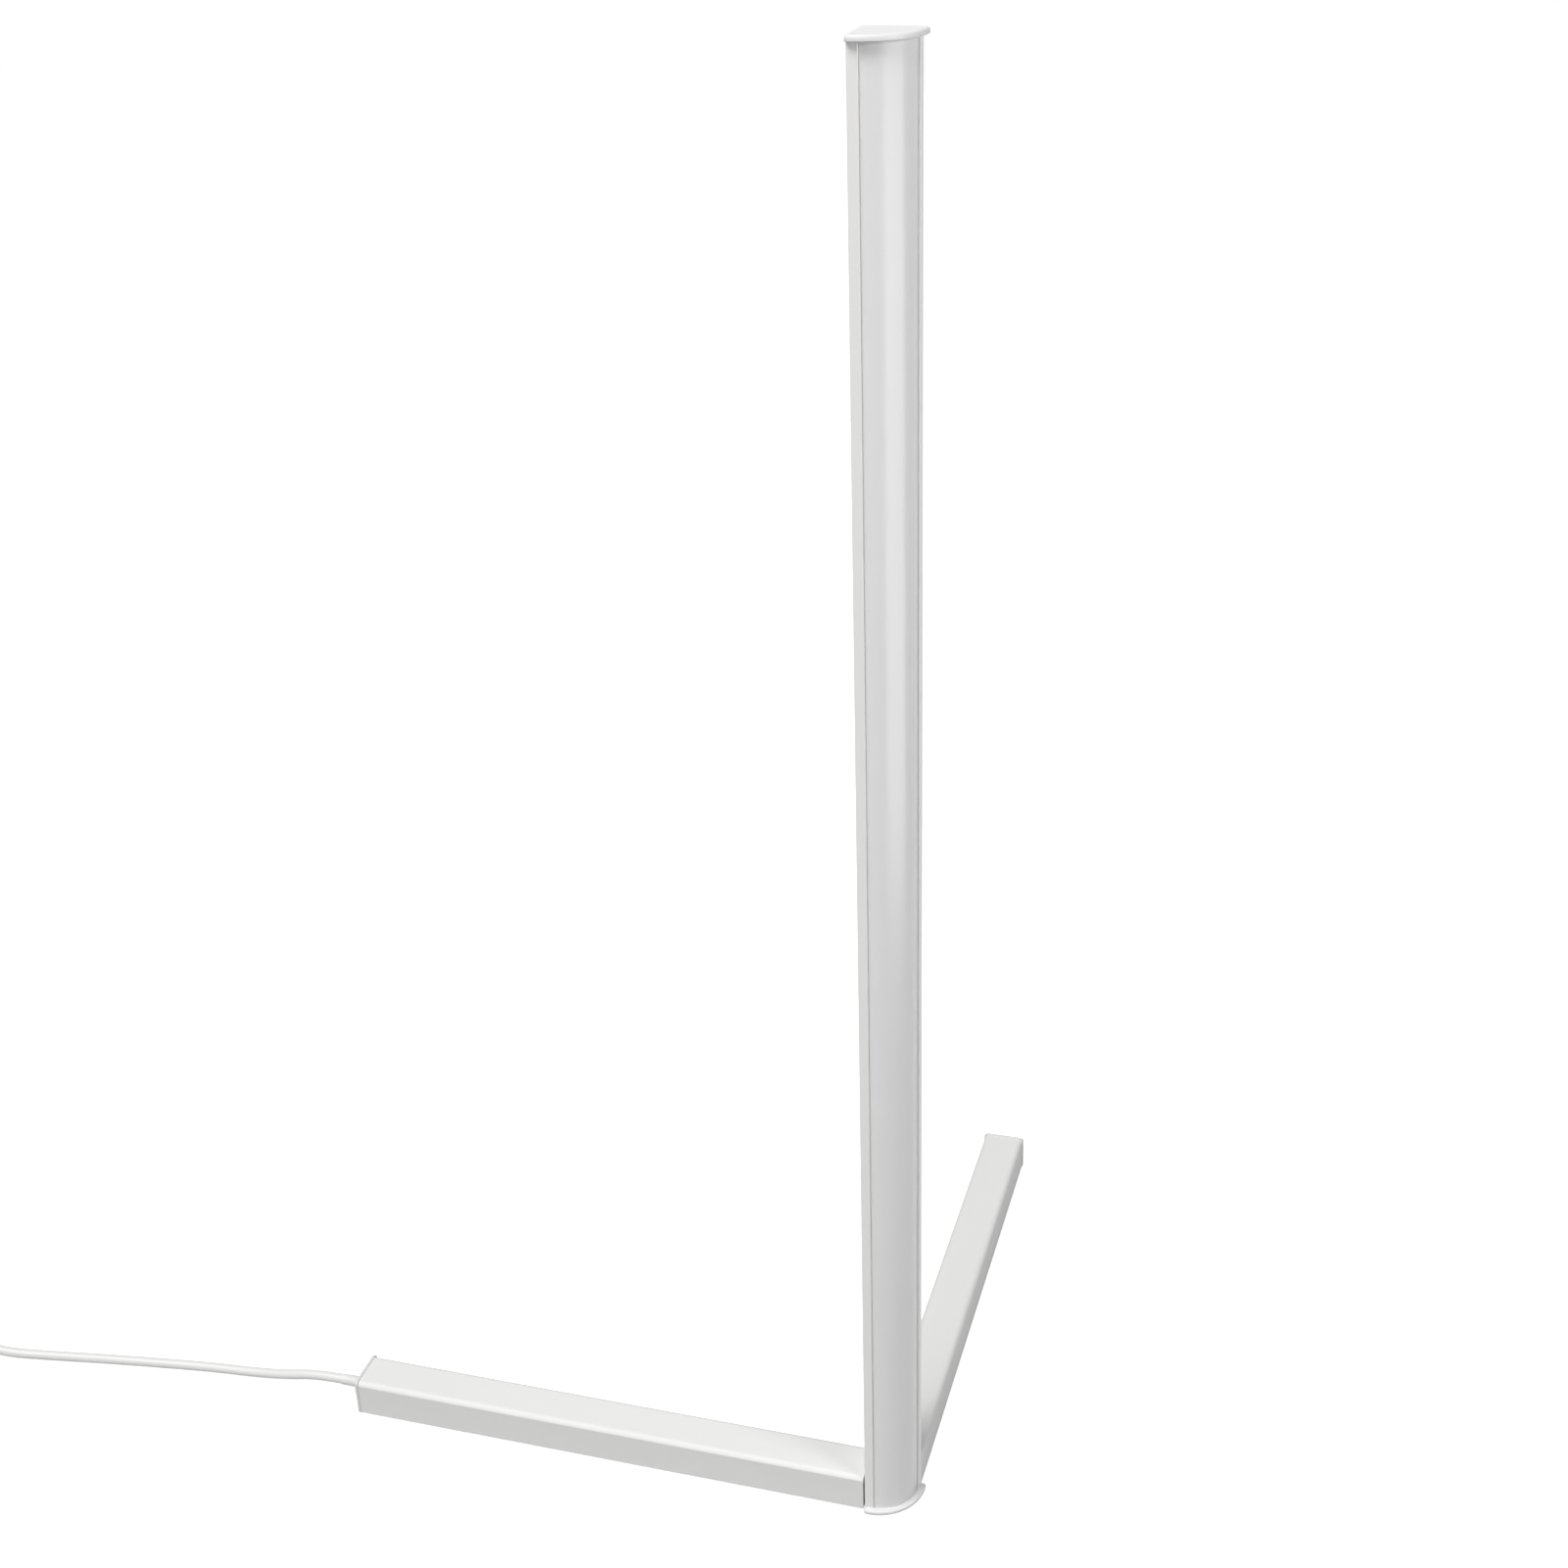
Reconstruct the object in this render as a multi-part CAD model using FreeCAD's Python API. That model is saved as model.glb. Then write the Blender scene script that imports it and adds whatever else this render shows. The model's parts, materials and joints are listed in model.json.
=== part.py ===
import FreeCAD
import Part
import math
import os

# Corner floor lamp.  A tall V-shaped aluminium column holds a light strip behind an
# opal quarter-round cover, and two hollow feet run back from its wings at a right angle.
#
# All sizes are in millimetres.  The lamp is drawn with the column's back corner at
# x = 0, y = 0 on the floor: the left wing and the right foot run along Y, the right
# wing and the left foot run along X, and the light leaves towards +X, -Y.  Each piece
# is moved on export so that the middle of the column's floor pad is the origin.

Vector = FreeCAD.Vector
UP = Vector(0, 0, 1)

# ---------------------------------------------------------------- driving dimensions
TOTAL_HEIGHT = 1000.0

# Column extrusion
WING_REACH = 33.3
WING_WALL = 1.6
LIP_WIDTH = 6.4
LIP_THICKNESS = 1.4
LIP_EDGE_RADIUS = 0.6
CORNER_RADIUS = 0.8
COVER_SLOT = 2.0
RIB_THICKNESS = 1.0
RIB_REACH = 5.0
WEB_DISTANCE = 9.2
WEB_THICKNESS = 1.4
WEB_END_MARGIN = 0.2
PORT_RADIUS = 2.7
PORT_BORE = 1.45
PORT_SINK = 0.6
TIP_PORT_ALONG = 25.6
CORNER_PORT_INSET = 4.0

# Opal cover
COVER_WALL = 1.6
COVER_SETBACK = 0.2
COVER_ARC_OFFSET = 5.6
COVER_LIP_GAP = 0.45
COVER_STEP = 1.6
COVER_SLOT_CLEARANCE = 0.2
COVER_END_CLEARANCE = 0.3

# Fan-shaped caps at both ends of the column
CAP_THICKNESS = 3.6
CAP_ARC_OFFSET = 3.0
CAP_ARC_RADIUS = 34.0
CAP_BACK_OVERHANG = 0.3
CAP_TIP_RADIUS = 1.8
CAP_CORNER_RADIUS = 1.0
CAP_OUTER_ROUND = 1.5
CAP_INNER_ROUND = 0.7
CAP_PEG_LENGTH = 9.0
CAP_PEG_CLEARANCE = 0.1
CAP_FLOOR_CLEARANCE = 0.4

# Feet
FOOT_REACH = 394.0
FOOT_WIDTH = 32.6
FOOT_HEIGHT = 28.4
FOOT_WALL = 1.8
FOOT_TOP_RADIUS = 4.6
FOOT_BOTTOM_RADIUS = 0.8
FOOT_JOINT_GAP = 1.2
FOOT_PORT_RADIUS = 2.6
FOOT_PORT_BORE = 1.45
FOOT_PORT_INSET = 4.4
END_CAP_THICKNESS = 2.2
END_CAP_PROUD = 0.8
END_CAP_CORNER = 2.0
END_CAP_EDGE_ROUND = 0.5

# Joint blocks between the feet and the column
BLOCK_LENGTH = 24.0
BLOCK_CLEARANCE = 0.15
BLOCK_PORT_CLEARANCE = 0.2
BLOCK_CAP_CLEARANCE = 0.3
BOLT_RADIUS = 2.0
BOLT_HEAD_RADIUS = 3.5
BOLT_HEAD_HEIGHT = 2.6
BOLT_LENGTH = 14.0
BOLT_TIP_GAP = 1.0
BOLT_RISE = 7.6
WASHER_THICKNESS = 0.6
WASHER_MARGIN = 0.2
SCREW_CLEARANCE = 0.05
BLOCK_SCREW_RADIUS = 2.0
BLOCK_SCREW_HEAD_RADIUS = 3.6
BLOCK_SCREW_LENGTH = 9.0
BLOCK_SCREW_SPREAD = 9.0
BLOCK_SCREW_BACK = 12.0

# Cross-head screws of the caps
CAP_SCREW_RADIUS = 1.35
CAP_SCREW_HEAD_RADIUS = 2.9
CAP_SCREW_HEAD_HEIGHT = 1.5
CAP_SCREW_LENGTH = 11.0
DRIVE_SLOT_WIDTH = 0.8
DRIVE_SLOT_DEPTH = 0.6
DRIVE_SLOT_SHARE = 0.7

# Rubber floor pads
PAD_HEIGHT = 1.2
PAD_RADIUS = 9.0
PAD_OUTER_INSET = 24.0
PAD_INNER_INSET = 42.0
PAD_RECESS = 0.6
PAD_FIT = 0.1
BASE_PAD_OFFSET = 13.0
BASE_PAD_RADIUS = 6.5

# Light strip: two boards end to end on the diagonal web
BOARD_WIDTH = 10.0
BOARD_THICKNESS = 1.0
BOARD_START = 44.0
BOARD_TOP_MARGIN = 8.0
BOARD_JOIN_GAP = 1.0
CHIP_COUNT = 28
CHIP_WIDTH = 2.8
CHIP_LENGTH = 3.5
CHIP_HEIGHT = 0.8
CHIP_ACROSS = -1.6
BOARD_SCREW_COUNT = 3
BOARD_SCREW_RADIUS = 1.0
BOARD_SCREW_HEAD_RADIUS = 1.7
BOARD_SCREW_HEAD_HEIGHT = 1.1
BOARD_SCREW_LENGTH = 4.0
BOARD_SCREW_ACROSS = 2.6
BOARD_SCREW_SHIFT = 0.06
LINK_WIDTH = 6.0
LINK_LENGTH = 10.0
LINK_HEIGHT = 2.2
SOCKET_WIDTH = 8.0
SOCKET_LENGTH = 9.0
SOCKET_HEIGHT = 4.4

# Low-voltage cable from the driver to the light strip
CABLE_RADIUS = 1.5
GROMMET_HOLE_RADIUS = 3.1
GROMMET_FLANGE_RADIUS = 3.9
GROMMET_FLANGE = 1.0
GROMMET_FIT = 0.05
BLOCK_CABLE_BORE = 3.3
CABLE_RUN_OUT = 30.0
CABLE_FALL = 72.0
CABLE_BLOCK_LEAD = 8.0
CABLE_WING_LEAD = 6.0
CABLE_RISE_START = 8.0

# Bends of the routes: each arc takes this share of its shorter run
ARC_SHARE = 0.45

# Driver and mains parts in the left foot
SHELF_LENGTH = 70.0
SHELF_WIDTH = 24.0
SHELF_THICKNESS = 2.0
SHELF_CLEARANCE = 0.2
SADDLE_LENGTH = 10.0
SADDLE_START = 9.0
SADDLE_WIDTH = 20.0
CLAMP_OVER_CORD = 2.0
CLAMP_GAP = 0.8
CLAMP_SCREW_RADIUS = 1.3
CLAMP_SCREW_HEAD_RADIUS = 2.4
CLAMP_SCREW_HEAD_HEIGHT = 1.6
CLAMP_SCREW_LENGTH = 9.0
CLAMP_SCREW_SPREAD = 7.2
CORD_STRIP_END = 28.0
TERMINAL_START = 36.0
TERMINAL_LENGTH = 22.0
TERMINAL_WIDTH = 22.0
TERMINAL_HEIGHT = 11.0
TERMINAL_PITCH = 6.6
TERMINAL_BORE = 1.5
TERMINAL_BORE_RISE = 5.0
TERMINAL_SCREW_RADIUS = 1.4
TERMINAL_SCREW_DEPTH = 4.0
TERMINAL_SCREW_INSET = 5.0
TERMINAL_SCREW_SINK = 0.4
TERMINAL_SHANK_SHARE = 0.8
CORE_RADIUS = 1.2
CORE_INSERT = 4.0
DRIVER_START = 84.0
DRIVER_LENGTH = 150.0
DRIVER_WIDTH = 24.0
DRIVER_HEIGHT = 16.0
DRIVER_WALL = 1.2
DRIVER_SPLIT = 7.0
DRIVER_PAD_THICKNESS = 1.0
DRIVER_PAD_SIDE_INSET = 2.0
DRIVER_PAD_END_INSET = 5.0
DRIVER_BOARD_THICKNESS = 1.4
DRIVER_BOARD_CLEARANCE = 0.3
DRIVER_POST_HEIGHT = 2.6
DRIVER_POST_RADIUS = 1.6
DRIVER_POST_INSET = 10.0
TRANSFORMER_LENGTH = 18.0
TRANSFORMER_WIDTH = 15.0
TRANSFORMER_HEIGHT = 8.0
TRANSFORMER_WAIST_SHARE = 0.6
TRANSFORMER_WINDING_SHARE = 0.8
CAPACITOR_RADIUS = 3.6
CAPACITOR_LENGTH = 12.0
CAPACITOR_PLACES = (22.0, 40.0, 112.0)
CAPACITOR_ACROSS = 4.5
CHOKE_RADIUS = 4.0
CHOKE_HEIGHT = 6.0
CHOKE_HOLE_SHARE = 0.4
CHOKE_PLACE = 16.0
CHOKE_ACROSS = -5.0
HEATSINK_LENGTH = 22.0
HEATSINK_THICKNESS = 1.5
HEATSINK_HEIGHT = 7.0
HEATSINK_ACROSS = -6.0
LUG_EYE_RADIUS = 3.5
LUG_THICKNESS = 0.8
LUG_TAB_WIDTH = 4.0
LUG_TAB_LENGTH = 9.0
LUG_BARREL_LENGTH = 6.0
LUG_SCREW_RADIUS = 1.5
LUG_SCREW_HEAD_RADIUS = 2.4
LUG_SCREW_HEAD_HEIGHT = 2.0
LUG_SCREW_LENGTH = 7.0
LUG_ACROSS = 9.0
LUG_HEIGHT = 13.0
EARTH_WIRE_RISE = 1.8
EARTH_WIRE_LEAVE = (8.0, 16.0, 90.0)
EARTH_WIRE_REACH = (60.0, 20.0)

# Mains lead and its sleeve
CORD_DIAMETER = 7.4
SLEEVE_LENGTH = 20.0
SLEEVE_ROOT_RADIUS = 4.9
SLEEVE_TIP_RADIUS = 4.3
SLEEVE_FLANGE_RADIUS = 6.6
SLEEVE_FLANGE = 2.0
SLEEVE_FIT = 0.05
CORD_FIT = 0.1

# Foot switch on the lead
SWITCH_LENGTH = 70.0
SWITCH_WIDTH = 46.0
SWITCH_HEIGHT = 22.0
SWITCH_SPLIT = 9.0
SWITCH_WALL = 2.0
SWITCH_CORNER = 16.0
SWITCH_EDGE_ROUND = 2.4
SWITCH_BASE_ROUND = 0.8
SWITCH_COLLAR_LENGTH = 6.0
SWITCH_COLLAR_RADIUS = 5.4
SWITCH_COLLAR_TIP_RADIUS = 4.6
SWITCH_LEAD_INSERT = 9.0
BUTTON_RADIUS = 14.0
BUTTON_CLEARANCE = 0.4
BUTTON_PROUD = 4.6
BUTTON_TRAVEL = 3.5
BUTTON_FLANGE = 2.0
BUTTON_FLANGE_HEIGHT = 1.6
BUTTON_STOP_GAP = 0.3
BUTTON_WALL = 2.0
BUTTON_EDGE_ROUND = 1.2
CORE_LENGTH = 26.0
CORE_WIDTH = 20.0
CORE_STOP_GAP = 0.4
BUTTON_STEM_RADIUS = 3.0
SWITCH_SCREW_RADIUS = 1.3
SWITCH_SCREW_HEAD_RADIUS = 2.4
SWITCH_SCREW_HEAD_HEIGHT = 1.4
SWITCH_SCREW_LENGTH = 10.0
SWITCH_SCREW_X = 25.0
SWITCH_SCREW_Y = 13.0
SWITCH_BOSS_RADIUS = 3.0
SWITCH_WIRE_PITCH = 2.6

# Mains plug, two round pins and side earth clips
PLUG_DISC_RADIUS = 18.5
PLUG_DISC_LENGTH = 18.0
PLUG_NECK_LENGTH = 12.0
PLUG_GRIP_RADIUS = 11.0
PLUG_GRIP_LENGTH = 16.0
PLUG_EDGE_ROUND = 1.5
PLUG_PIN_RADIUS = 2.4
PLUG_PIN_LENGTH = 19.0
PLUG_PIN_SPREAD = 9.5
PLUG_PIN_SEAT = 5.0
PLUG_PIN_TIP_ROUND = 1.44
PLUG_EARTH_WIDTH = 6.0
PLUG_EARTH_DEPTH = 3.0
PLUG_EARTH_THICKNESS = 0.8
PLUG_EARTH_SETBACK = 4.0
PLUG_EARTH_HOLE_RADIUS = 2.6
PLUG_EARTH_HOLE_DEPTH = 14.0
PLUG_EARTH_HOLE_OFFSET = 9.0
BOOT_LENGTH = 25.0
BOOT_ROOT_RADIUS = 6.6
BOOT_TIP_RADIUS = 4.5

# Put-away coil of the lead
COIL_OUTER_RADIUS = 51.0
COIL_PITCH = 8.0
COIL_TURNS_IN = 2.75
COIL_TURNS_OUT = 2.5
COIL_LIFT = 1.1
COIL_START_ANGLE = -90.0
TIE_ANGLE = 110.0
TIE_WIDTH = 6.0
TIE_THICKNESS = 0.8
TIE_CLEARANCE = 0.3
GAP_SAMPLE_STEP = 3.0

# Places on the floor of what lies on the lead (middle of the switch, plug axis)
SWITCH_X = -765.0
SWITCH_Y = -46.0
SWITCH_LEAD_HEIGHT = 9.0
COIL_X = -866.0
PLUG_TAIL_Y = 92.0

# ------------------------------------------------------------------ derived sizes
WING_MIDDLE = WING_REACH / 2
CAP_BOTTOM = CAP_FLOOR_CLEARANCE
COLUMN_BOTTOM = CAP_BOTTOM + CAP_THICKNESS
COLUMN_TOP = TOTAL_HEIGHT - CAP_THICKNESS
TIP_PORT_INSET = WING_WALL + PORT_RADIUS - PORT_SINK

FOOT_BOTTOM = PAD_HEIGHT
FOOT_TOP = FOOT_BOTTOM + FOOT_HEIGHT
FOOT_MIDDLE_Z = FOOT_BOTTOM + FOOT_HEIGHT / 2
FOOT_NEAR_Y = -WING_MIDDLE - FOOT_WIDTH / 2
FOOT_FAR_Y = -WING_MIDDLE + FOOT_WIDTH / 2
FOOT_FLOOR = FOOT_BOTTOM + FOOT_WALL
FOOT_END = -FOOT_REACH + END_CAP_THICKNESS
FOOT_PORTS = (
    (FOOT_NEAR_Y + FOOT_PORT_INSET, FOOT_TOP - FOOT_PORT_INSET),
    (FOOT_FAR_Y - FOOT_PORT_INSET, FOOT_TOP - FOOT_PORT_INSET),
)

BLOCK_INSET = FOOT_WALL + BLOCK_CLEARANCE
BLOCK_PORT_REACH = math.sqrt(2) * FOOT_PORT_INSET + FOOT_PORT_RADIUS + BLOCK_PORT_CLEARANCE
BLOCK_PORT_CHAMFER = math.sqrt(2) * BLOCK_PORT_REACH - 2 * BLOCK_INSET
BLOCK_FLANGE_INSET = COLUMN_BOTTOM + BLOCK_CAP_CLEARANCE - FOOT_BOTTOM

CORD_RADIUS = CORD_DIAMETER / 2
COVER_ARC_RADIUS = WING_REACH - COVER_SETBACK - COVER_ARC_OFFSET
BOARD_TOP = COLUMN_TOP - BOARD_TOP_MARGIN
BOARD_LENGTH = (BOARD_TOP - BOARD_START - BOARD_JOIN_GAP) / 2
WEB_FACE = WEB_DISTANCE + WEB_THICKNESS / 2
BOARD_FACE = WEB_FACE + BOARD_THICKNESS

COIL_Y = SWITCH_Y + COIL_OUTER_RADIUS
COIL_LOW = CORD_RADIUS + COIL_LIFT
COIL_HIGH = COIL_LOW + COIL_PITCH
COIL_MID_RADIUS = COIL_OUTER_RADIUS - COIL_PITCH * COIL_TURNS_IN
COIL_END_RADIUS = COIL_MID_RADIUS + COIL_PITCH * COIL_TURNS_OUT
COIL_END_X = COIL_X - COIL_END_RADIUS
COIL_TAIL_Y = COIL_Y + CORD_DIAMETER
SWITCH_ENTRY_X = SWITCH_X + SWITCH_LENGTH / 2 + SWITCH_COLLAR_LENGTH
SWITCH_EXIT_X = SWITCH_X - SWITCH_LENGTH / 2 - SWITCH_COLLAR_LENGTH
SLEEVE_TIP_X = -FOOT_REACH - SLEEVE_LENGTH

# The lead's free stretches, as points of its middle line.
LEAD_ROUTE = (
    (SLEEVE_TIP_X, -WING_MIDDLE, FOOT_MIDDLE_Z),
    (-436.0, -WING_MIDDLE, FOOT_MIDDLE_Z),
    (-462.0, -16.9, 9.8),
    (-492.0, -17.6, 4.4),
    (-526.0, -19.6, CORD_RADIUS),
    (-568.0, -25.0, CORD_RADIUS),
    (-616.0, -33.6, CORD_RADIUS),
    (-660.0, -39.6, CORD_RADIUS),
    (-690.0, -45.2, 5.4),
    (-710.0, SWITCH_Y, SWITCH_LEAD_HEIGHT),
    (SWITCH_ENTRY_X, SWITCH_Y, SWITCH_LEAD_HEIGHT),
)
LINK_ROUTE = (
    (SWITCH_EXIT_X, SWITCH_Y, SWITCH_LEAD_HEIGHT),
    (-822.0, SWITCH_Y, SWITCH_LEAD_HEIGHT),
    (-842.0, SWITCH_Y, COIL_LOW),
    (COIL_X + CORD_DIAMETER, SWITCH_Y, COIL_LOW),
)
TAIL_ROUTE = (
    (COIL_END_X, COIL_TAIL_Y, COIL_HIGH),
    (COIL_END_X, 26.0, COIL_HIGH),
    (COIL_END_X - 1.6, 42.0, 10.8),
    (COIL_END_X - 0.9, 60.0, 12.6),
    (COIL_END_X, 78.0, PLUG_DISC_RADIUS),
    (COIL_END_X, PLUG_TAIL_Y, PLUG_DISC_RADIUS),
)


# --------------------------------------------------------------------- small helpers
def box(x_span, y_span, z_span):
    """Return a block between the given pairs of coordinates."""
    low = Vector(min(x_span), min(y_span), min(z_span))
    high = Vector(max(x_span), max(y_span), max(z_span))
    size = high - low
    return Part.makeBox(size.x, size.y, size.z, low)


def rod(start, direction, radius, length):
    """Return a round bar from a start point along a direction."""
    return Part.makeCylinder(radius, length, Vector(*start), Vector(*direction))


def taper(start, direction, root_radius, tip_radius, length):
    """Return a tapered round bar from a start point along a direction."""
    return Part.makeCone(root_radius, tip_radius, length, Vector(*start), Vector(*direction))


def joined(shapes):
    """Fuse shapes into one and drop the seams between flat faces."""
    first = shapes[0]
    return first.fuse(shapes[1:]).removeSplitter()


def mirrored(shape):
    """Mirror across the lamp's diagonal, which swaps the left and the right side."""
    return shape.mirror(Vector(0, 0, 0), Vector(1, 1, 0))


def on_diagonal(shape):
    """Turn a piece drawn facing -Y so that it faces out of the lamp's corner."""
    return shape.rotated(Vector(0, 0, 0), UP, 45)


def upright_edges(shape, x, y):
    """Return the shape's vertical edges at one place in plan."""
    found = []
    for edge in shape.Edges:
        ends = [vertex.Point for vertex in edge.Vertexes]
        if len(ends) == 2 and all(math.hypot(end.x - x, end.y - y) < 0.01 for end in ends):
            found.append(edge)
    return found


def edges_at_height(shape, z):
    """Return the edges that lie wholly at one height."""
    return [edge for edge in shape.Edges
            if abs(edge.BoundBox.ZMin - z) < 1e-4 and abs(edge.BoundBox.ZMax - z) < 1e-4]


def screw(start, direction, radius, length, head_radius, head_height):
    """Return a flat-headed screw with a cross slot; start is the middle of its head's top."""
    axis = Vector(*direction).normalize()
    top = Vector(*start)
    under_head = top + axis * head_height
    head = Part.makeCylinder(head_radius, head_height, top, axis)
    shank = Part.makeCylinder(radius, length, under_head, axis)
    side = axis.cross(Vector(1, 0, 0))
    if side.Length < 0.1:
        side = axis.cross(Vector(0, 1, 0))
    side.normalize()
    other = axis.cross(side)
    body = head.fuse(shank)
    for along, across in ((side, other), (other, side)):
        reach = head_radius * DRIVE_SLOT_SHARE
        corner = top - along * reach - across * (DRIVE_SLOT_WIDTH / 2)
        outline = Part.makePolygon([
            corner,
            corner + along * (2 * reach),
            corner + along * (2 * reach) + across * DRIVE_SLOT_WIDTH,
            corner + across * DRIVE_SLOT_WIDTH,
            corner,
        ])
        body = body.cut(Part.Face(outline).extrude(axis * DRIVE_SLOT_DEPTH))
    return body


def screw_hole(start, direction, radius, length, head_radius, head_height):
    """Return the space that a screw of the same sizes needs, with its clearance."""
    axis = Vector(*direction).normalize()
    top = Vector(*start)
    head = Part.makeCylinder(head_radius + SCREW_CLEARANCE, head_height, top, axis)
    shank = Part.makeCylinder(radius + SCREW_CLEARANCE, head_height + length, top, axis)
    return head.fuse(shank)


def save(name, shape):
    """Move a piece into the lamp's own frame and write it."""
    solids = shape if isinstance(shape, list) else [shape]
    moved = []
    for solid in solids:
        copy = solid.copy()
        copy.translate(Vector(-BASE_PAD_OFFSET, BASE_PAD_OFFSET, 0))
        moved.append(copy)
    whole = moved[0] if len(moved) == 1 else Part.makeCompound(moved)
    whole.exportStep(f"parts/{name}.step")
    volume = sum(solid.Volume for solid in moved)
    print(f"{name}: {len(whole.Solids)} solid(s), {volume:.0f} mm3, valid {whole.isValid()}")


# -------------------------------------------------------------------------- column
def ring_port(x, y, bottom, top):
    """Return the outside of a screw port that runs up the extrusion."""
    return rod((x, y, bottom), (0, 0, 1), PORT_RADIUS, top - bottom)


def tip_port_centre():
    """Return the plan place of the left wing's screw port."""
    return TIP_PORT_INSET, -TIP_PORT_ALONG


def column_ports():
    """Return the plan places of the three screw ports."""
    x, y = tip_port_centre()
    return ((CORNER_PORT_INSET, -CORNER_PORT_INSET), (x, y), (-y, -x))


def column_wing():
    """Left wing: wall, wide tip lip, the rib behind it and the screw port."""
    height = (COLUMN_BOTTOM, COLUMN_TOP)
    slot_start = -WING_REACH + LIP_THICKNESS
    rib_start = slot_start + COVER_SLOT
    wall = box((0, WING_WALL), (-WING_REACH, 0), height)
    lip = box((0, LIP_WIDTH), (-WING_REACH, slot_start), height)
    rib = box((0, RIB_REACH), (rib_start, rib_start + RIB_THICKNESS), height)
    port_x, port_y = tip_port_centre()
    port = ring_port(port_x, port_y, *height)
    wing = joined([wall, lip, rib, port])
    trim = box((-PORT_RADIUS * 2, 0), (-2 * WING_REACH, WING_REACH), height)
    wing = wing.cut(trim)
    wing = wing.makeFillet(LIP_EDGE_RADIUS, upright_edges(wing, LIP_WIDTH, -WING_REACH))
    return wing.makeFillet(LIP_EDGE_RADIUS, upright_edges(wing, 0, -WING_REACH))


def diagonal_slab(front, thickness, half_width, bottom, top):
    """Return a slab across the corner; front is its distance from the corner."""
    slab = box((-half_width, half_width), (-front, -front + thickness), (bottom, top))
    return on_diagonal(slab)


def wing_bolt_heights():
    """Return the heights of the two bolts that hold a foot."""
    return FOOT_MIDDLE_Z - BOLT_RISE, FOOT_MIDDLE_Z + BOLT_RISE


def board_screw_places(bottom):
    """Return the heights of one board's screws."""
    step = BOARD_LENGTH / BOARD_SCREW_COUNT
    first = bottom + step * (0.5 + BOARD_SCREW_SHIFT)
    return [first + step * index for index in range(BOARD_SCREW_COUNT)]


def board_bottoms():
    """Return the lower end of each board."""
    return BOARD_START, BOARD_START + BOARD_LENGTH + BOARD_JOIN_GAP


def column_profile():
    """The whole extrusion with its bored holes."""
    left = column_wing()
    right = mirrored(left)
    web = diagonal_slab(WEB_FACE, WEB_THICKNESS, WEB_FACE - WEB_END_MARGIN,
                        COLUMN_BOTTOM, COLUMN_TOP)
    corner_port = ring_port(CORNER_PORT_INSET, -CORNER_PORT_INSET, COLUMN_BOTTOM, COLUMN_TOP)
    outside = box((0, WING_REACH), (-WING_REACH, 0), (COLUMN_BOTTOM, COLUMN_TOP))
    profile = joined([left, right, web, corner_port]).common(outside)
    profile = profile.makeFillet(CORNER_RADIUS, upright_edges(profile, 0, 0))
    cuts = []
    for x, y in column_ports():
        cuts.append(rod((x, y, COLUMN_BOTTOM), (0, 0, 1), PORT_BORE, COLUMN_TOP - COLUMN_BOTTOM))
    for z in wing_bolt_heights():
        hole = rod((0, -WING_MIDDLE, z), (1, 0, 0), BOLT_RADIUS + SCREW_CLEARANCE, WING_WALL)
        cuts.append(hole)
        cuts.append(mirrored(hole))
    cuts.append(rod((0, -WING_MIDDLE, FOOT_MIDDLE_Z), (1, 0, 0), GROMMET_HOLE_RADIUS, WING_WALL))
    for bottom in board_bottoms():
        for z in board_screw_places(bottom):
            hole = rod((BOARD_SCREW_ACROSS, -WEB_FACE, z), (0, 1, 0),
                       BOARD_SCREW_RADIUS + SCREW_CLEARANCE, WEB_THICKNESS)
            cuts.append(on_diagonal(hole))
    return profile.cut(cuts)


def opal_cover():
    """Quarter-round cover whose bent edges slide in the slots behind the wing lips."""
    bottom = COLUMN_BOTTOM + COVER_END_CLEARANCE
    height = COLUMN_TOP - COVER_END_CLEARANCE - bottom
    centre = Vector(COVER_ARC_OFFSET, -COVER_ARC_OFFSET, bottom)
    outer = Part.makeCylinder(COVER_ARC_RADIUS, height, centre)
    inner = Part.makeCylinder(COVER_ARC_RADIUS - COVER_WALL, height, centre)
    edge = LIP_WIDTH + COVER_LIP_GAP
    window = box((edge, 2 * WING_REACH), (-2 * WING_REACH, -edge), (bottom, bottom + height))
    shell = outer.cut(inner).common(window)
    slot_low = -WING_REACH + LIP_THICKNESS + COVER_SLOT_CLEARANCE
    slot_high = -WING_REACH + LIP_THICKNESS + COVER_SLOT - COVER_SLOT_CLEARANCE
    tongue = box((WING_WALL + COVER_SLOT_CLEARANCE, edge + COVER_STEP), (slot_low, slot_high),
                 (bottom, bottom + height))
    face_y = -COVER_ARC_OFFSET - COVER_ARC_RADIUS + COVER_WALL / 2
    step = box((edge, edge + COVER_STEP), (face_y, slot_high), (bottom, bottom + height))
    return joined([shell, tongue, step, mirrored(tongue), mirrored(step)])


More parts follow.
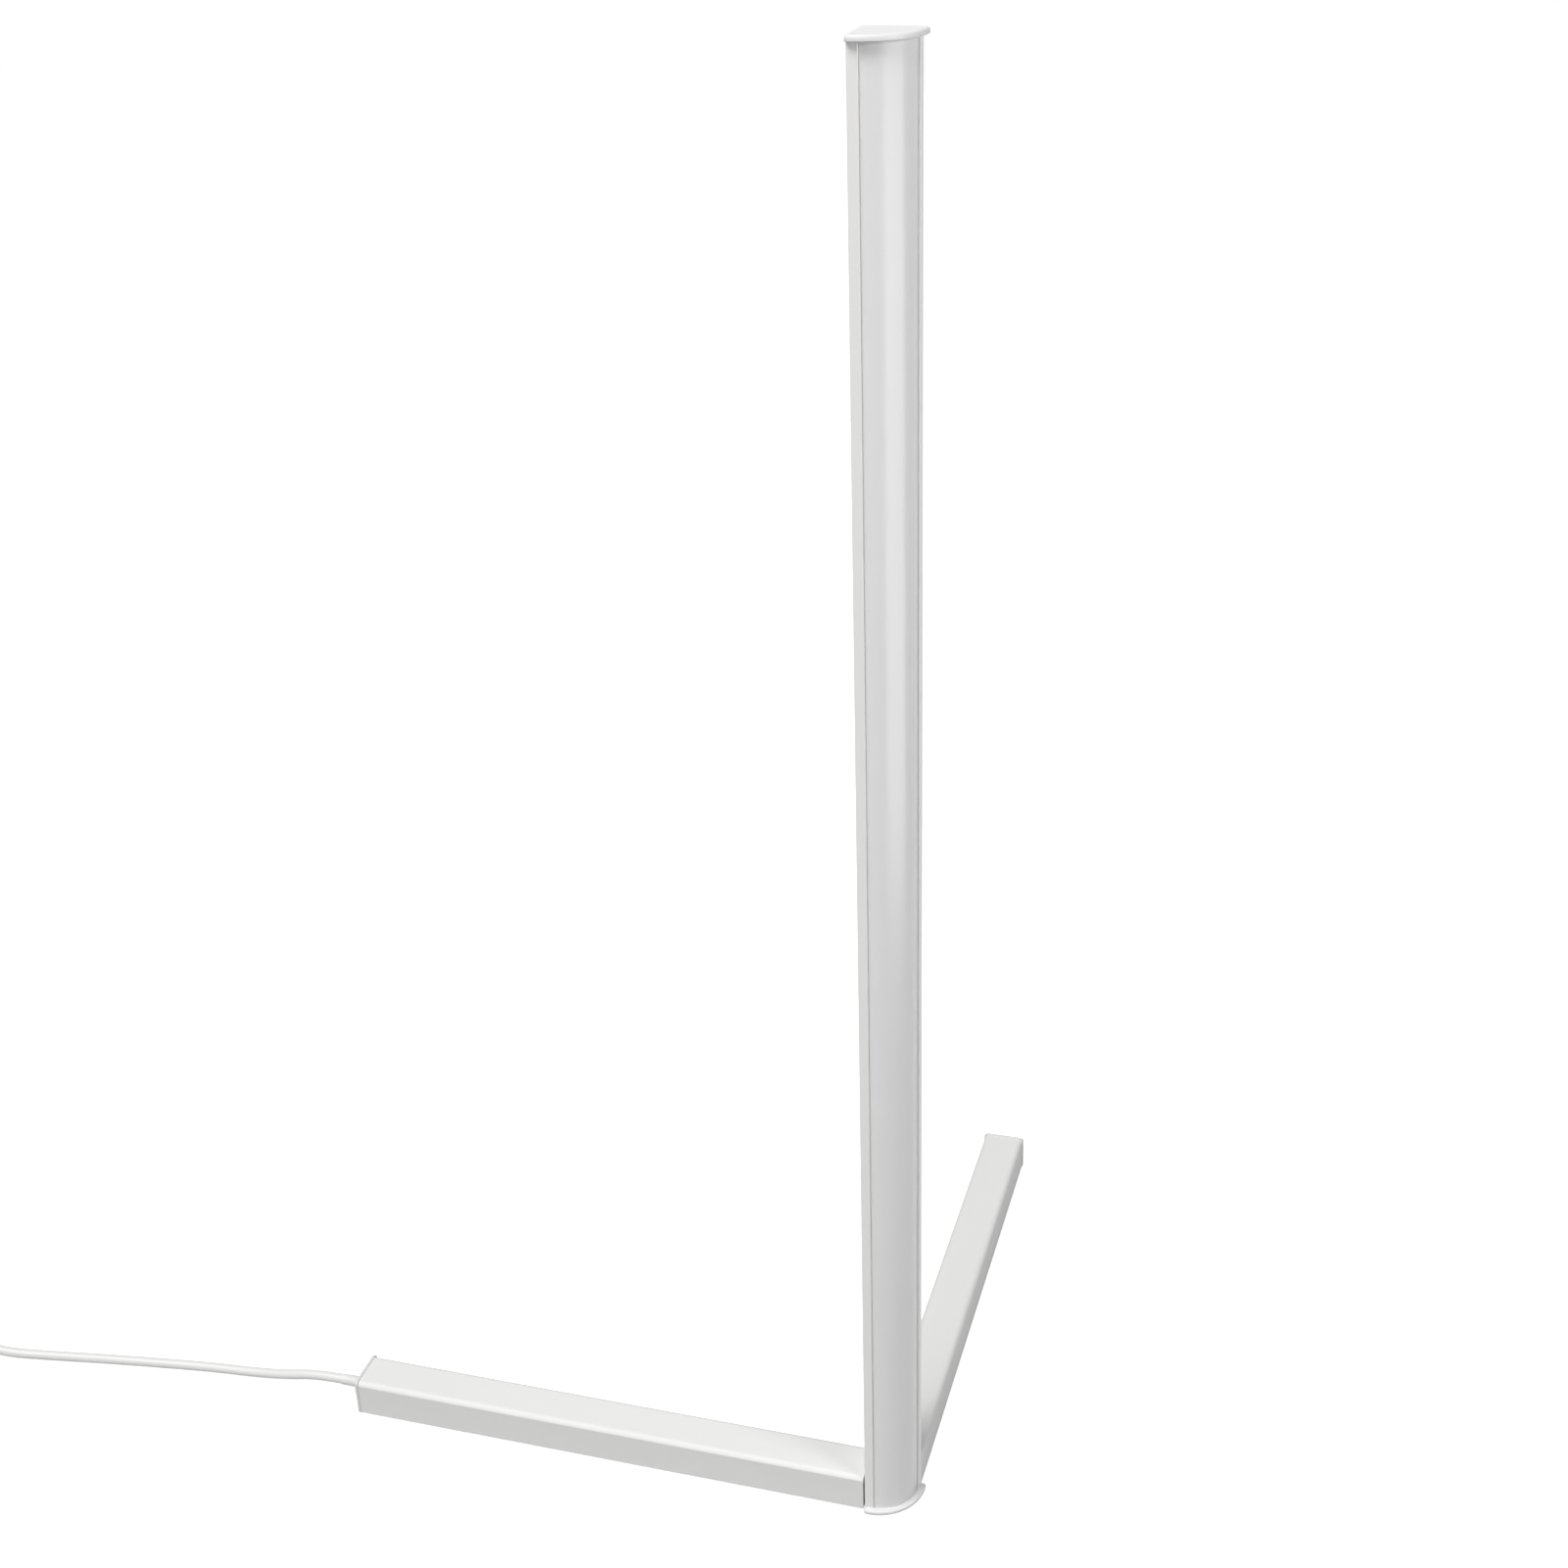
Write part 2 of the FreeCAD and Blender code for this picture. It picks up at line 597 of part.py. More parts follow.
def fan_plate(bottom, top, outer_up):
    """Fan-shaped plate that closes one end of the column, with rounded edges."""
    back = CAP_BACK_OVERHANG
    centre = CAP_ARC_OFFSET
    reach = math.sqrt(CAP_ARC_RADIUS ** 2 - (centre + back) ** 2)
    diagonal = CAP_ARC_RADIUS / math.sqrt(2)
    corner = Vector(-back, back, bottom)
    left_tip = Vector(-back, -centre - reach, bottom)
    right_tip = Vector(centre + reach, back, bottom)
    bulge = Vector(centre + diagonal, -centre - diagonal, bottom)
    outline = Part.Wire([
        Part.LineSegment(corner, left_tip).toShape(),
        Part.Arc(left_tip, bulge, right_tip).toShape(),
        Part.LineSegment(right_tip, corner).toShape(),
    ])
    plate = Part.Face(outline).extrude(Vector(0, 0, top - bottom))
    plate = plate.makeFillet(CAP_CORNER_RADIUS, upright_edges(plate, corner.x, corner.y))
    tips = upright_edges(plate, left_tip.x, left_tip.y)
    tips += upright_edges(plate, right_tip.x, right_tip.y)
    plate = plate.makeFillet(CAP_TIP_RADIUS, tips)
    outer = top if outer_up else bottom
    inner = bottom if outer_up else top
    plate = plate.makeFillet(CAP_OUTER_ROUND, edges_at_height(plate, outer))
    return plate.makeFillet(CAP_INNER_ROUND, edges_at_height(plate, inner))


def top_cap():
    """Upper cap, held by three pegs pressed into the screw ports."""
    plate = fan_plate(COLUMN_TOP, TOTAL_HEIGHT, True)
    pegs = [rod((x, y, COLUMN_TOP), (0, 0, -1), PORT_BORE - CAP_PEG_CLEARANCE, CAP_PEG_LENGTH)
            for x, y in column_ports()]
    return joined([plate] + pegs)


def bottom_cap_screw_args(x, y):
    """Return the sizes shared by a lower cap screw and its hole."""
    return ((x, y, CAP_BOTTOM), (0, 0, 1), CAP_SCREW_RADIUS, CAP_SCREW_LENGTH,
            CAP_SCREW_HEAD_RADIUS, CAP_SCREW_HEAD_HEIGHT)


def bottom_cap():
    """Lower cap with screw seats and the round recess of the floor pad."""
    plate = fan_plate(CAP_BOTTOM, COLUMN_BOTTOM, False)
    seats = [screw_hole(*bottom_cap_screw_args(x, y)) for x, y in column_ports()]
    recess = rod((BASE_PAD_OFFSET, -BASE_PAD_OFFSET, CAP_BOTTOM), (0, 0, 1),
                 BASE_PAD_RADIUS + PAD_FIT, PAD_RECESS)
    return plate.cut(seats + [recess])


# ---------------------------------------------------------------------------- feet
def foot_bar(x_span, inset, top_radius, bottom_radius):
    """Return a bar along X with the left foot's section, drawn in by the inset."""
    y_span = (FOOT_NEAR_Y + inset, FOOT_FAR_Y - inset)
    z_span = (FOOT_BOTTOM + inset, FOOT_TOP - inset)
    bar = box(x_span, y_span, z_span)
    for radius, z in ((top_radius, z_span[1]), (bottom_radius, z_span[0])):
        if radius > 0:
            edges = [edge for edge in edges_at_height(bar, z)
                     if edge.BoundBox.XLength > edge.BoundBox.YLength]
            bar = bar.makeFillet(radius, edges)
    return bar


def foot_profile():
    """Left foot extrusion: a hollow bar with two screw ports in its upper corners."""
    span = (FOOT_END, -FOOT_JOINT_GAP)
    outer = foot_bar(span, 0, FOOT_TOP_RADIUS, FOOT_BOTTOM_RADIUS)
    hollow = foot_bar(span, FOOT_WALL, FOOT_TOP_RADIUS - FOOT_WALL, 0)
    length = span[1] - span[0]
    ports = [rod((span[0], y, z), (1, 0, 0), FOOT_PORT_RADIUS, length) for y, z in FOOT_PORTS]
    bores = [rod((span[0], y, z), (1, 0, 0), FOOT_PORT_BORE, length) for y, z in FOOT_PORTS]
    profile = joined([outer.cut(hollow)] + [port.common(outer) for port in ports])
    holes = [screw_hole(*block_screw_args(y)) for y in block_screw_places()]
    return profile.cut(bores + holes)


def block_screw_places():
    """Return the places across the foot of the two screws under its joint block."""
    return -WING_MIDDLE - BLOCK_SCREW_SPREAD, -WING_MIDDLE + BLOCK_SCREW_SPREAD


def block_screw_args(y):
    """Return the sizes shared by a joint block's screw and its hole."""
    return ((-BLOCK_SCREW_BACK, y, FOOT_BOTTOM), (0, 0, 1), BLOCK_SCREW_RADIUS,
            BLOCK_SCREW_LENGTH, BLOCK_SCREW_HEAD_RADIUS, FOOT_WALL / 2)


def foot_bolt_hole(z):
    """Return the tapped hole of one bolt, from the wing into the joint block."""
    return rod((0, -WING_MIDDLE, z), (-1, 0, 0), BOLT_RADIUS + SCREW_CLEARANCE, BOLT_LENGTH)


def foot_block():
    """Left joint block: fills the foot's end and spans the shadow gap to the wing."""
    body = box((-BLOCK_LENGTH, -FOOT_JOINT_GAP),
               (FOOT_NEAR_Y + BLOCK_INSET, FOOT_FAR_Y - BLOCK_INSET),
               (FOOT_BOTTOM + BLOCK_INSET, FOOT_TOP - BLOCK_INSET))
    upper = [edge for edge in edges_at_height(body, FOOT_TOP - BLOCK_INSET)
             if edge.BoundBox.XLength > edge.BoundBox.YLength]
    body = body.makeChamfer(BLOCK_PORT_CHAMFER, upper)
    flange = foot_bar((-FOOT_JOINT_GAP, 0), BLOCK_FLANGE_INSET,
                      FOOT_TOP_RADIUS - BLOCK_FLANGE_INSET, 0)
    block = joined([body, flange])
    cuts = [foot_bolt_hole(z) for z in wing_bolt_heights()]
    cuts.append(rod((0, -WING_MIDDLE, FOOT_MIDDLE_Z), (-1, 0, 0), BLOCK_CABLE_BORE, BLOCK_LENGTH))
    cuts += [screw_hole(*block_screw_args(y)) for y in block_screw_places()]
    return block.cut(cuts)


def left_foot_block():
    """Joint block of the left foot, with the tapped hole of the earth screw."""
    x, y, z = lug_place()
    return foot_block().cut(rod((x, y, z), (1, 0, 0), LUG_SCREW_RADIUS + SCREW_CLEARANCE,
                                LUG_SCREW_LENGTH))


def foot_bolts():
    """The two bolts that hold the left foot, heads inside the column."""
    bolts = []
    for z in wing_bolt_heights():
        head_top = WING_WALL + WASHER_THICKNESS + BOLT_HEAD_HEIGHT
        length = BOLT_LENGTH + WING_WALL + WASHER_THICKNESS - BOLT_TIP_GAP
        bolts.append(screw((head_top, -WING_MIDDLE, z), (-1, 0, 0), BOLT_RADIUS, length,
                           BOLT_HEAD_RADIUS, BOLT_HEAD_HEIGHT))
    return bolts


def foot_washers():
    """Washers under the heads of the left foot's bolts."""
    washers = []
    for z in wing_bolt_heights():
        disc = rod((WING_WALL, -WING_MIDDLE, z), (1, 0, 0), BOLT_HEAD_RADIUS + WASHER_MARGIN,
                   WASHER_THICKNESS)
        hole = rod((WING_WALL, -WING_MIDDLE, z), (1, 0, 0), BOLT_RADIUS + SCREW_CLEARANCE,
                   WASHER_THICKNESS)
        washers.append(disc.cut(hole))
    return washers


def end_cap_screw_args(y, z):
    """Return the sizes shared by a foot end screw and its hole."""
    return ((-FOOT_REACH, y, z), (1, 0, 0), CAP_SCREW_RADIUS, CAP_SCREW_LENGTH,
            CAP_SCREW_HEAD_RADIUS, CAP_SCREW_HEAD_HEIGHT)


def end_cap_plate():
    """Plate that closes a foot's outer end and stands slightly proud all round."""
    plate = foot_bar((-FOOT_REACH, FOOT_END), -END_CAP_PROUD, END_CAP_CORNER, END_CAP_CORNER)
    outer = [edge for edge in plate.Edges if edge.BoundBox.XMax < -FOOT_REACH + 0.001]
    plate = plate.makeFillet(END_CAP_EDGE_ROUND, outer)
    return plate.cut([screw_hole(*end_cap_screw_args(y, z)) for y, z in FOOT_PORTS])


def saddle_tower_span():
    """Return where the cord saddle stands along the foot."""
    return FOOT_END + SADDLE_START, FOOT_END + SADDLE_START + SADDLE_LENGTH


def left_end_cap():
    """Left end plate with the shelf that carries the cord saddle and the terminals."""
    bottom = FOOT_FLOOR + SHELF_CLEARANCE
    y_span = (-WING_MIDDLE - SHELF_WIDTH / 2, -WING_MIDDLE + SHELF_WIDTH / 2)
    shelf = box((FOOT_END, FOOT_END + SHELF_LENGTH), y_span, (bottom, bottom + SHELF_THICKNESS))
    saddle = box(saddle_tower_span(),
                 (-WING_MIDDLE - SADDLE_WIDTH / 2, -WING_MIDDLE + SADDLE_WIDTH / 2),
                 (bottom, FOOT_MIDDLE_Z - CLAMP_GAP / 2))
    cap = joined([end_cap_plate(), shelf, saddle])
    cord_way = rod((FOOT_END, -WING_MIDDLE, FOOT_MIDDLE_Z), (1, 0, 0), CORD_RADIUS + CORD_FIT,
                   SHELF_LENGTH)
    sleeve_way = rod((-FOOT_REACH, -WING_MIDDLE, FOOT_MIDDLE_Z), (1, 0, 0),
                     SLEEVE_ROOT_RADIUS + SLEEVE_FIT, END_CAP_THICKNESS)
    screws = [screw_hole(*clamp_screw_args(y)) for y in clamp_screw_places()]
    return cap.cut([cord_way, sleeve_way] + screws)


def right_end_cap():
    """Right end plate with a short tongue that centres it in the foot."""
    bottom = FOOT_FLOOR + SHELF_CLEARANCE
    y_span = (-WING_MIDDLE - SHELF_WIDTH / 2, -WING_MIDDLE + SHELF_WIDTH / 2)
    tongue = box((FOOT_END, FOOT_END + SADDLE_START), y_span, (bottom, bottom + SHELF_THICKNESS))
    return mirrored(joined([end_cap_plate(), tongue]))


def floor_pads():
    """Round rubber pads under both feet and under the column."""
    pads = []
    for x in (-FOOT_REACH + PAD_OUTER_INSET, -PAD_INNER_INSET):
        pad = rod((x, -WING_MIDDLE, 0), (0, 0, 1), PAD_RADIUS, PAD_HEIGHT)
        pads.append(pad)
        pads.append(mirrored(pad))
    pads.append(rod((BASE_PAD_OFFSET, -BASE_PAD_OFFSET, 0), (0, 0, 1), BASE_PAD_RADIUS,
                    CAP_BOTTOM + PAD_RECESS))
    return pads


# --------------------------------------------------------------------- light strip
def light_board(bottom):
    """One light board with the holes of its screws."""
    board = box((-BOARD_WIDTH / 2, BOARD_WIDTH / 2), (-BOARD_FACE, -WEB_FACE),
                (bottom, bottom + BOARD_LENGTH))
    holes = [rod((BOARD_SCREW_ACROSS, -BOARD_FACE, z), (0, 1, 0),
                 BOARD_SCREW_RADIUS + SCREW_CLEARANCE, BOARD_THICKNESS)
             for z in board_screw_places(bottom)]
    return on_diagonal(board.cut(holes))


def light_chips(bottom):
    """The light chips of one board, evenly spaced."""
    pitch = BOARD_LENGTH / CHIP_COUNT
    chips = []
    for index in range(CHIP_COUNT):
        middle = bottom + pitch * (index + 0.5)
        chip = box((CHIP_ACROSS - CHIP_WIDTH / 2, CHIP_ACROSS + CHIP_WIDTH / 2),
                   (-BOARD_FACE - CHIP_HEIGHT, -BOARD_FACE),
                   (middle - CHIP_LENGTH / 2, middle + CHIP_LENGTH / 2))
        chips.append(on_diagonal(chip))
    return chips


def board_screws():
    """Screws that hold both boards to the web."""
    screws = []
    for bottom in board_bottoms():
        for z in board_screw_places(bottom):
            top = (BOARD_SCREW_ACROSS, -BOARD_FACE - BOARD_SCREW_HEAD_HEIGHT, z)
            screws.append(on_diagonal(screw(top, (0, 1, 0), BOARD_SCREW_RADIUS,
                                            BOARD_SCREW_LENGTH - WEB_THICKNESS,
                                            BOARD_SCREW_HEAD_RADIUS, BOARD_SCREW_HEAD_HEIGHT)))
    return screws


def board_link():
    """Plug that bridges the join of the two boards."""
    middle = BOARD_START + BOARD_LENGTH + BOARD_JOIN_GAP / 2
    link = box((-LINK_WIDTH / 2, LINK_WIDTH / 2), (-BOARD_FACE - LINK_HEIGHT, -BOARD_FACE),
               (middle - LINK_LENGTH / 2, middle + LINK_LENGTH / 2))
    return on_diagonal(link)


def strip_socket_face():
    """Return the height of the lower face of the light strip's socket."""
    return BOARD_START - SOCKET_LENGTH / 2


def strip_socket():
    """Socket at the foot of the lower board, where the cable plugs in."""
    bottom = strip_socket_face()
    socket = box((-SOCKET_WIDTH / 2, SOCKET_WIDTH / 2), (-BOARD_FACE - SOCKET_HEIGHT, -BOARD_FACE),
                 (bottom, bottom + SOCKET_LENGTH))
    way = rod((0, -BOARD_FACE - SOCKET_HEIGHT / 2, bottom), UP, CABLE_RADIUS + GROMMET_FIT,
              SOCKET_LENGTH / 2)
    return on_diagonal(socket.cut(way))


# -------------------------------------------------------------- cables and the lead
def rounded_route(points, name):
    """Join straight runs with tangent arcs, and return the line and its length."""
    knots = [Vector(*point) for point in points]
    edges = []
    radii = []
    length = 0.0
    cursor = knots[0]
    for before, here, after in zip(knots, knots[1:], knots[2:]):
        first = here - before
        second = after - here
        reach = ARC_SHARE * min(first.Length, second.Length)
        first.normalize()
        second.normalize()
        half_turn = first.getAngle(second) / 2
        radius = reach / math.tan(half_turn)
        start = here - first * reach
        end = here + second * reach
        inward = (second - first).normalize()
        middle = here + inward * (radius / math.cos(half_turn) - radius)
        edges.append(Part.LineSegment(cursor, start).toShape())
        edges.append(Part.Arc(start, middle, end).toShape())
        length += cursor.distanceToPoint(start) + 2 * half_turn * radius
        radii.append(radius)
        cursor = end
    edges.append(Part.LineSegment(cursor, knots[-1]).toShape())
    length += cursor.distanceToPoint(knots[-1])
    print(f"{name}: length {length:.1f}, radii " + ", ".join(f"{radius:.0f}" for radius in radii))
    return Part.Wire(edges), length


def swept_tube(path, radius):
    """Sweep a round section along a smooth path."""
    start = path.Edges[0]
    origin = start.valueAt(start.FirstParameter)
    heading = start.tangentAt(start.FirstParameter)
    section = Part.Wire([Part.Circle(origin, heading, radius).toShape()])
    shell = Part.BRepOffsetAPI.MakePipeShell(path)
    shell.add(section)
    shell.build()
    shell.makeSolid()
    return Part.Solid(shell.shape())


def route_tube(points, radius, name):
    """Return a tube along a route and check its volume against section times length."""
    path, length = rounded_route(points, name)
    tube = swept_tube(path, radius)
    expected = math.pi * radius ** 2 * length
    print(f"{name}: volume {tube.Volume:.0f}, section x length {expected:.0f}")
    return tube


def strip_cable():
    """Cable from the driver, through the joint block and the wing, up to the light strip."""
    driver_end = FOOT_END + DRIVER_START + DRIVER_LENGTH
    socket_point = on_diagonal(Part.Vertex(0, -BOARD_FACE - SOCKET_HEIGHT / 2,
                                           strip_socket_face() + SOCKET_LENGTH / 2)).Point
    low = Vector(socket_point.x, socket_point.y, FOOT_MIDDLE_Z)
    start_z = driver_lead_height()
    points = (
        (driver_end, -WING_MIDDLE, start_z),
        (driver_end + CABLE_RUN_OUT, -WING_MIDDLE, start_z),
        (driver_end + CABLE_FALL, -WING_MIDDLE - 2.0, FOOT_MIDDLE_Z - 0.4),
        (-BLOCK_LENGTH - CABLE_BLOCK_LEAD, -WING_MIDDLE, FOOT_MIDDLE_Z),
        (WING_WALL + GROMMET_FLANGE + CABLE_WING_LEAD, -WING_MIDDLE, FOOT_MIDDLE_Z),
        (low.x, low.y, low.z + CABLE_RISE_START),
        (low.x, low.y, socket_point.z),
    )
    return route_tube(points, CABLE_RADIUS, "strip_cable")


def wing_grommet():
    """Rubber grommet where the cable passes through the left wing."""
    neck = rod((0, -WING_MIDDLE, FOOT_MIDDLE_Z), (1, 0, 0), GROMMET_HOLE_RADIUS - GROMMET_FIT,
               WING_WALL)
    flange = rod((WING_WALL, -WING_MIDDLE, FOOT_MIDDLE_Z), (1, 0, 0), GROMMET_FLANGE_RADIUS,
                 GROMMET_FLANGE)
    way = rod((0, -WING_MIDDLE, FOOT_MIDDLE_Z), (1, 0, 0), CABLE_RADIUS + 2 * GROMMET_FIT,
              WING_WALL + GROMMET_FLANGE)
    return joined([neck, flange]).cut(way)


# ------------------------------------------------------------ mains parts in the foot
def shelf_top():
    """Return the height of the left end cap's shelf."""
    return FOOT_FLOOR + SHELF_CLEARANCE + SHELF_THICKNESS


def cord_sleeve():
    """Tapered sleeve that guards the lead where it leaves the left foot."""
    taper_part = taper((-FOOT_REACH, -WING_MIDDLE, FOOT_MIDDLE_Z), (-1, 0, 0),
                       SLEEVE_ROOT_RADIUS, SLEEVE_TIP_RADIUS, SLEEVE_LENGTH)
    neck = rod((-FOOT_REACH, -WING_MIDDLE, FOOT_MIDDLE_Z), (1, 0, 0), SLEEVE_ROOT_RADIUS,
               END_CAP_THICKNESS)
    flange = rod((FOOT_END, -WING_MIDDLE, FOOT_MIDDLE_Z), (1, 0, 0), SLEEVE_FLANGE_RADIUS,
                 SLEEVE_FLANGE)
    way = rod((SLEEVE_TIP_X, -WING_MIDDLE, FOOT_MIDDLE_Z), (1, 0, 0), CORD_RADIUS + CORD_FIT,
              SLEEVE_LENGTH + END_CAP_THICKNESS + SLEEVE_FLANGE)
    return joined([taper_part, neck, flange]).cut(way)


def cord_inner_end():
    """The stretch of lead that the sleeve and the clamp hold."""
    return rod((SLEEVE_TIP_X, -WING_MIDDLE, FOOT_MIDDLE_Z), (1, 0, 0), CORD_RADIUS,
               FOOT_END + CORD_STRIP_END - SLEEVE_TIP_X)


def clamp_screw_places():
    """Return the places across the foot of the cord clamp's screws."""
    return -WING_MIDDLE - CLAMP_SCREW_SPREAD, -WING_MIDDLE + CLAMP_SCREW_SPREAD


def clamp_top():
    """Return the height of the cord clamp's upper face."""
    return FOOT_MIDDLE_Z + CORD_RADIUS + CLAMP_OVER_CORD


def clamp_screw_args(y):
    """Return the sizes shared by a clamp screw and its hole."""
    middle = sum(saddle_tower_span()) / 2
    return ((middle, y, clamp_top() + CLAMP_SCREW_HEAD_HEIGHT), (0, 0, -1), CLAMP_SCREW_RADIUS,
            CLAMP_SCREW_LENGTH, CLAMP_SCREW_HEAD_RADIUS, CLAMP_SCREW_HEAD_HEIGHT)


def cord_clamp():
    """Bar that presses the lead into its saddle."""
    bar = box(saddle_tower_span(),
              (-WING_MIDDLE - SADDLE_WIDTH / 2, -WING_MIDDLE + SADDLE_WIDTH / 2),
              (FOOT_MIDDLE_Z + CLAMP_GAP / 2, clamp_top()))
    start = saddle_tower_span()[0]
    groove = rod((start, -WING_MIDDLE, FOOT_MIDDLE_Z), (1, 0, 0), CORD_RADIUS + CORD_FIT,
                 SADDLE_LENGTH)
    holes = [screw_hole(*clamp_screw_args(y)) for y in clamp_screw_places()]
    return bar.cut([groove] + holes)


def clamp_screws():
    """Screws of the cord clamp."""
    return [screw(*clamp_screw_args(y)) for y in clamp_screw_places()]


def terminal_places():
    """Return the places across the foot of the three terminals."""
    return [-WING_MIDDLE + TERMINAL_PITCH * (index - 1) for index in range(3)]


def terminal_span():
    """Return where the terminal block lies along the foot."""
    return FOOT_END + TERMINAL_START, FOOT_END + TERMINAL_START + TERMINAL_LENGTH


def terminal_screw_places():
    """Return where the terminal screws stand along the foot."""
    start, end = terminal_span()
    return start + TERMINAL_SCREW_INSET, end - TERMINAL_SCREW_INSET


def terminal_block():
    """Three-way screw terminal on the shelf."""
    bottom = shelf_top()
    start, end = terminal_span()
    block = box((start, end), (-WING_MIDDLE - TERMINAL_WIDTH / 2, -WING_MIDDLE + TERMINAL_WIDTH / 2),
                (bottom, bottom + TERMINAL_HEIGHT))
    cuts = []
    for y in terminal_places():
        cuts.append(rod((start, y, bottom + TERMINAL_BORE_RISE), (1, 0, 0), TERMINAL_BORE,
                        TERMINAL_LENGTH))
        for x in terminal_screw_places():
            cuts.append(rod((x, y, bottom + TERMINAL_HEIGHT), (0, 0, -1),
                            TERMINAL_SCREW_RADIUS + SCREW_CLEARANCE, TERMINAL_SCREW_DEPTH))
    return block.cut(cuts)


def terminal_screws():
    """The six wire screws of the terminal block, sunk below its top."""
    top = shelf_top() + TERMINAL_HEIGHT - TERMINAL_SCREW_SINK
    half_depth = (TERMINAL_SCREW_DEPTH - TERMINAL_SCREW_SINK) / 2
    screws = []
    for y in terminal_places():
        for x in terminal_screw_places():
            screws.append(screw((x, y, top), (0, 0, -1),
                                TERMINAL_SCREW_RADIUS * TERMINAL_SHANK_SHARE, half_depth,
                                TERMINAL_SCREW_RADIUS, half_depth))
    return screws


def mains_cores():
    """Cores from the lead's end to the terminals."""
    start, _ = terminal_span()
    height = shelf_top() + TERMINAL_BORE_RISE
    return [rod((FOOT_END + CORD_STRIP_END, y, height), (1, 0, 0), CORE_RADIUS,
                start + CORE_INSERT - FOOT_END - CORD_STRIP_END) for y in terminal_places()]


def driver_lead_height():
    """Return the height at which wires enter and leave the driver."""
    return FOOT_FLOOR + DRIVER_PAD_THICKNESS + DRIVER_SPLIT


def driver_span():
    """Return where the driver lies along the foot."""
    return FOOT_END + DRIVER_START, FOOT_END + DRIVER_START + DRIVER_LENGTH


def driver_input_wires():
    """Two wires from the terminals into the driver."""
    _, terminal_end = terminal_span()
    start, _ = driver_span()
    height = shelf_top() + TERMINAL_BORE_RISE
    wires = []
    for y in terminal_places()[:2]:
        wires.append(rod((terminal_end - CORE_INSERT, y, height), (1, 0, 0), CORE_RADIUS,
                         start + DRIVER_WALL - terminal_end + CORE_INSERT))
    return wires


def driver_shell(z_span, closed_z):
    """Return one open half of the driver's case."""
    start, end = driver_span()
    half = DRIVER_WIDTH / 2
    outer = box((start, end), (-WING_MIDDLE - half, -WING_MIDDLE + half), z_span)
    inner_z = (z_span[0] + (DRIVER_WALL if closed_z < 0 else 0),
               z_span[1] - (DRIVER_WALL if closed_z > 0 else 0))
    inner = box((start + DRIVER_WALL, end - DRIVER_WALL),
                (-WING_MIDDLE - half + DRIVER_WALL, -WING_MIDDLE + half - DRIVER_WALL), inner_z)
    return outer.cut(inner)


def driver_wire_ways():
    """Return the holes of the wires in the driver's end walls."""
    start, end = driver_span()
    height = shelf_top() + TERMINAL_BORE_RISE
    ways = [rod((start, y, height), (1, 0, 0), CORE_RADIUS + CORD_FIT, DRIVER_WALL)
            for y in terminal_places()[:2]]
    ways.append(rod((end, -WING_MIDDLE, driver_lead_height()), (-1, 0, 0),
                    CABLE_RADIUS + CORD_FIT, DRIVER_WALL))
    return ways


def driver_levels():
    """Return the heights of the driver's underside, parting line and top."""
    bottom = FOOT_FLOOR + DRIVER_PAD_THICKNESS
    return bottom, bottom + DRIVER_SPLIT, bottom + DRIVER_HEIGHT


def driver_base():
    """Lower half of the driver's case, with posts for its board."""
    bottom, split, _ = driver_levels()
    shell = driver_shell((bottom, split), -1)
    start, end = driver_span()
    posts = []
    for x in (start + DRIVER_POST_INSET, end - DRIVER_POST_INSET):
        for y in (-WING_MIDDLE - DRIVER_WIDTH / 4, -WING_MIDDLE + DRIVER_WIDTH / 4):
            posts.append(rod((x, y, bottom + DRIVER_WALL / 2), (0, 0, 1), DRIVER_POST_RADIUS,
                             DRIVER_POST_HEIGHT - DRIVER_WALL / 2))
    return joined([shell] + posts).cut(driver_wire_ways())


def driver_cover():
    """Upper half of the driver's case."""
    _, split, top = driver_levels()
    return driver_shell((split, top), 1).cut(driver_wire_ways())


def driver_board_top():
    """Return the height of the driver board's upper face."""
    return driver_levels()[0] + DRIVER_POST_HEIGHT + DRIVER_BOARD_THICKNESS


def driver_board():
    """Circuit board of the driver, on the posts of its case."""
    start, end = driver_span()
    inset = DRIVER_WALL + DRIVER_BOARD_CLEARANCE
    half = DRIVER_WIDTH / 2 - inset
    top = driver_board_top()
    return box((start + inset, end - inset), (-WING_MIDDLE - half, -WING_MIDDLE + half),
               (top - DRIVER_BOARD_THICKNESS, top))


def driver_transformer():
    """Transformer of the driver: a wound bobbin between two core plates."""
    middle = sum(driver_span()) / 2
    z = driver_board_top()
    half_length = TRANSFORMER_LENGTH / 2
    half_width = TRANSFORMER_WIDTH / 2
    waist_length = half_length * TRANSFORMER_WAIST_SHARE
    waist_width = half_width * TRANSFORMER_WAIST_SHARE
    core = box((middle - half_length, middle + half_length),
               (-WING_MIDDLE - waist_width, -WING_MIDDLE + waist_width),
               (z, z + TRANSFORMER_HEIGHT))
    winding = box((middle - waist_length, middle + waist_length),
                  (-WING_MIDDLE - half_width, -WING_MIDDLE + half_width),
                  (z, z + TRANSFORMER_HEIGHT * TRANSFORMER_WINDING_SHARE))
    return joined([core, winding])


def driver_capacitors():
    """Three capacitors that lie on the driver's board."""
    start, _ = driver_span()
    z = driver_board_top() + CAPACITOR_RADIUS
    y = -WING_MIDDLE + CAPACITOR_ACROSS
    return [rod((start + place, y, z), (1, 0, 0), CAPACITOR_RADIUS, CAPACITOR_LENGTH)
            for place in CAPACITOR_PLACES]


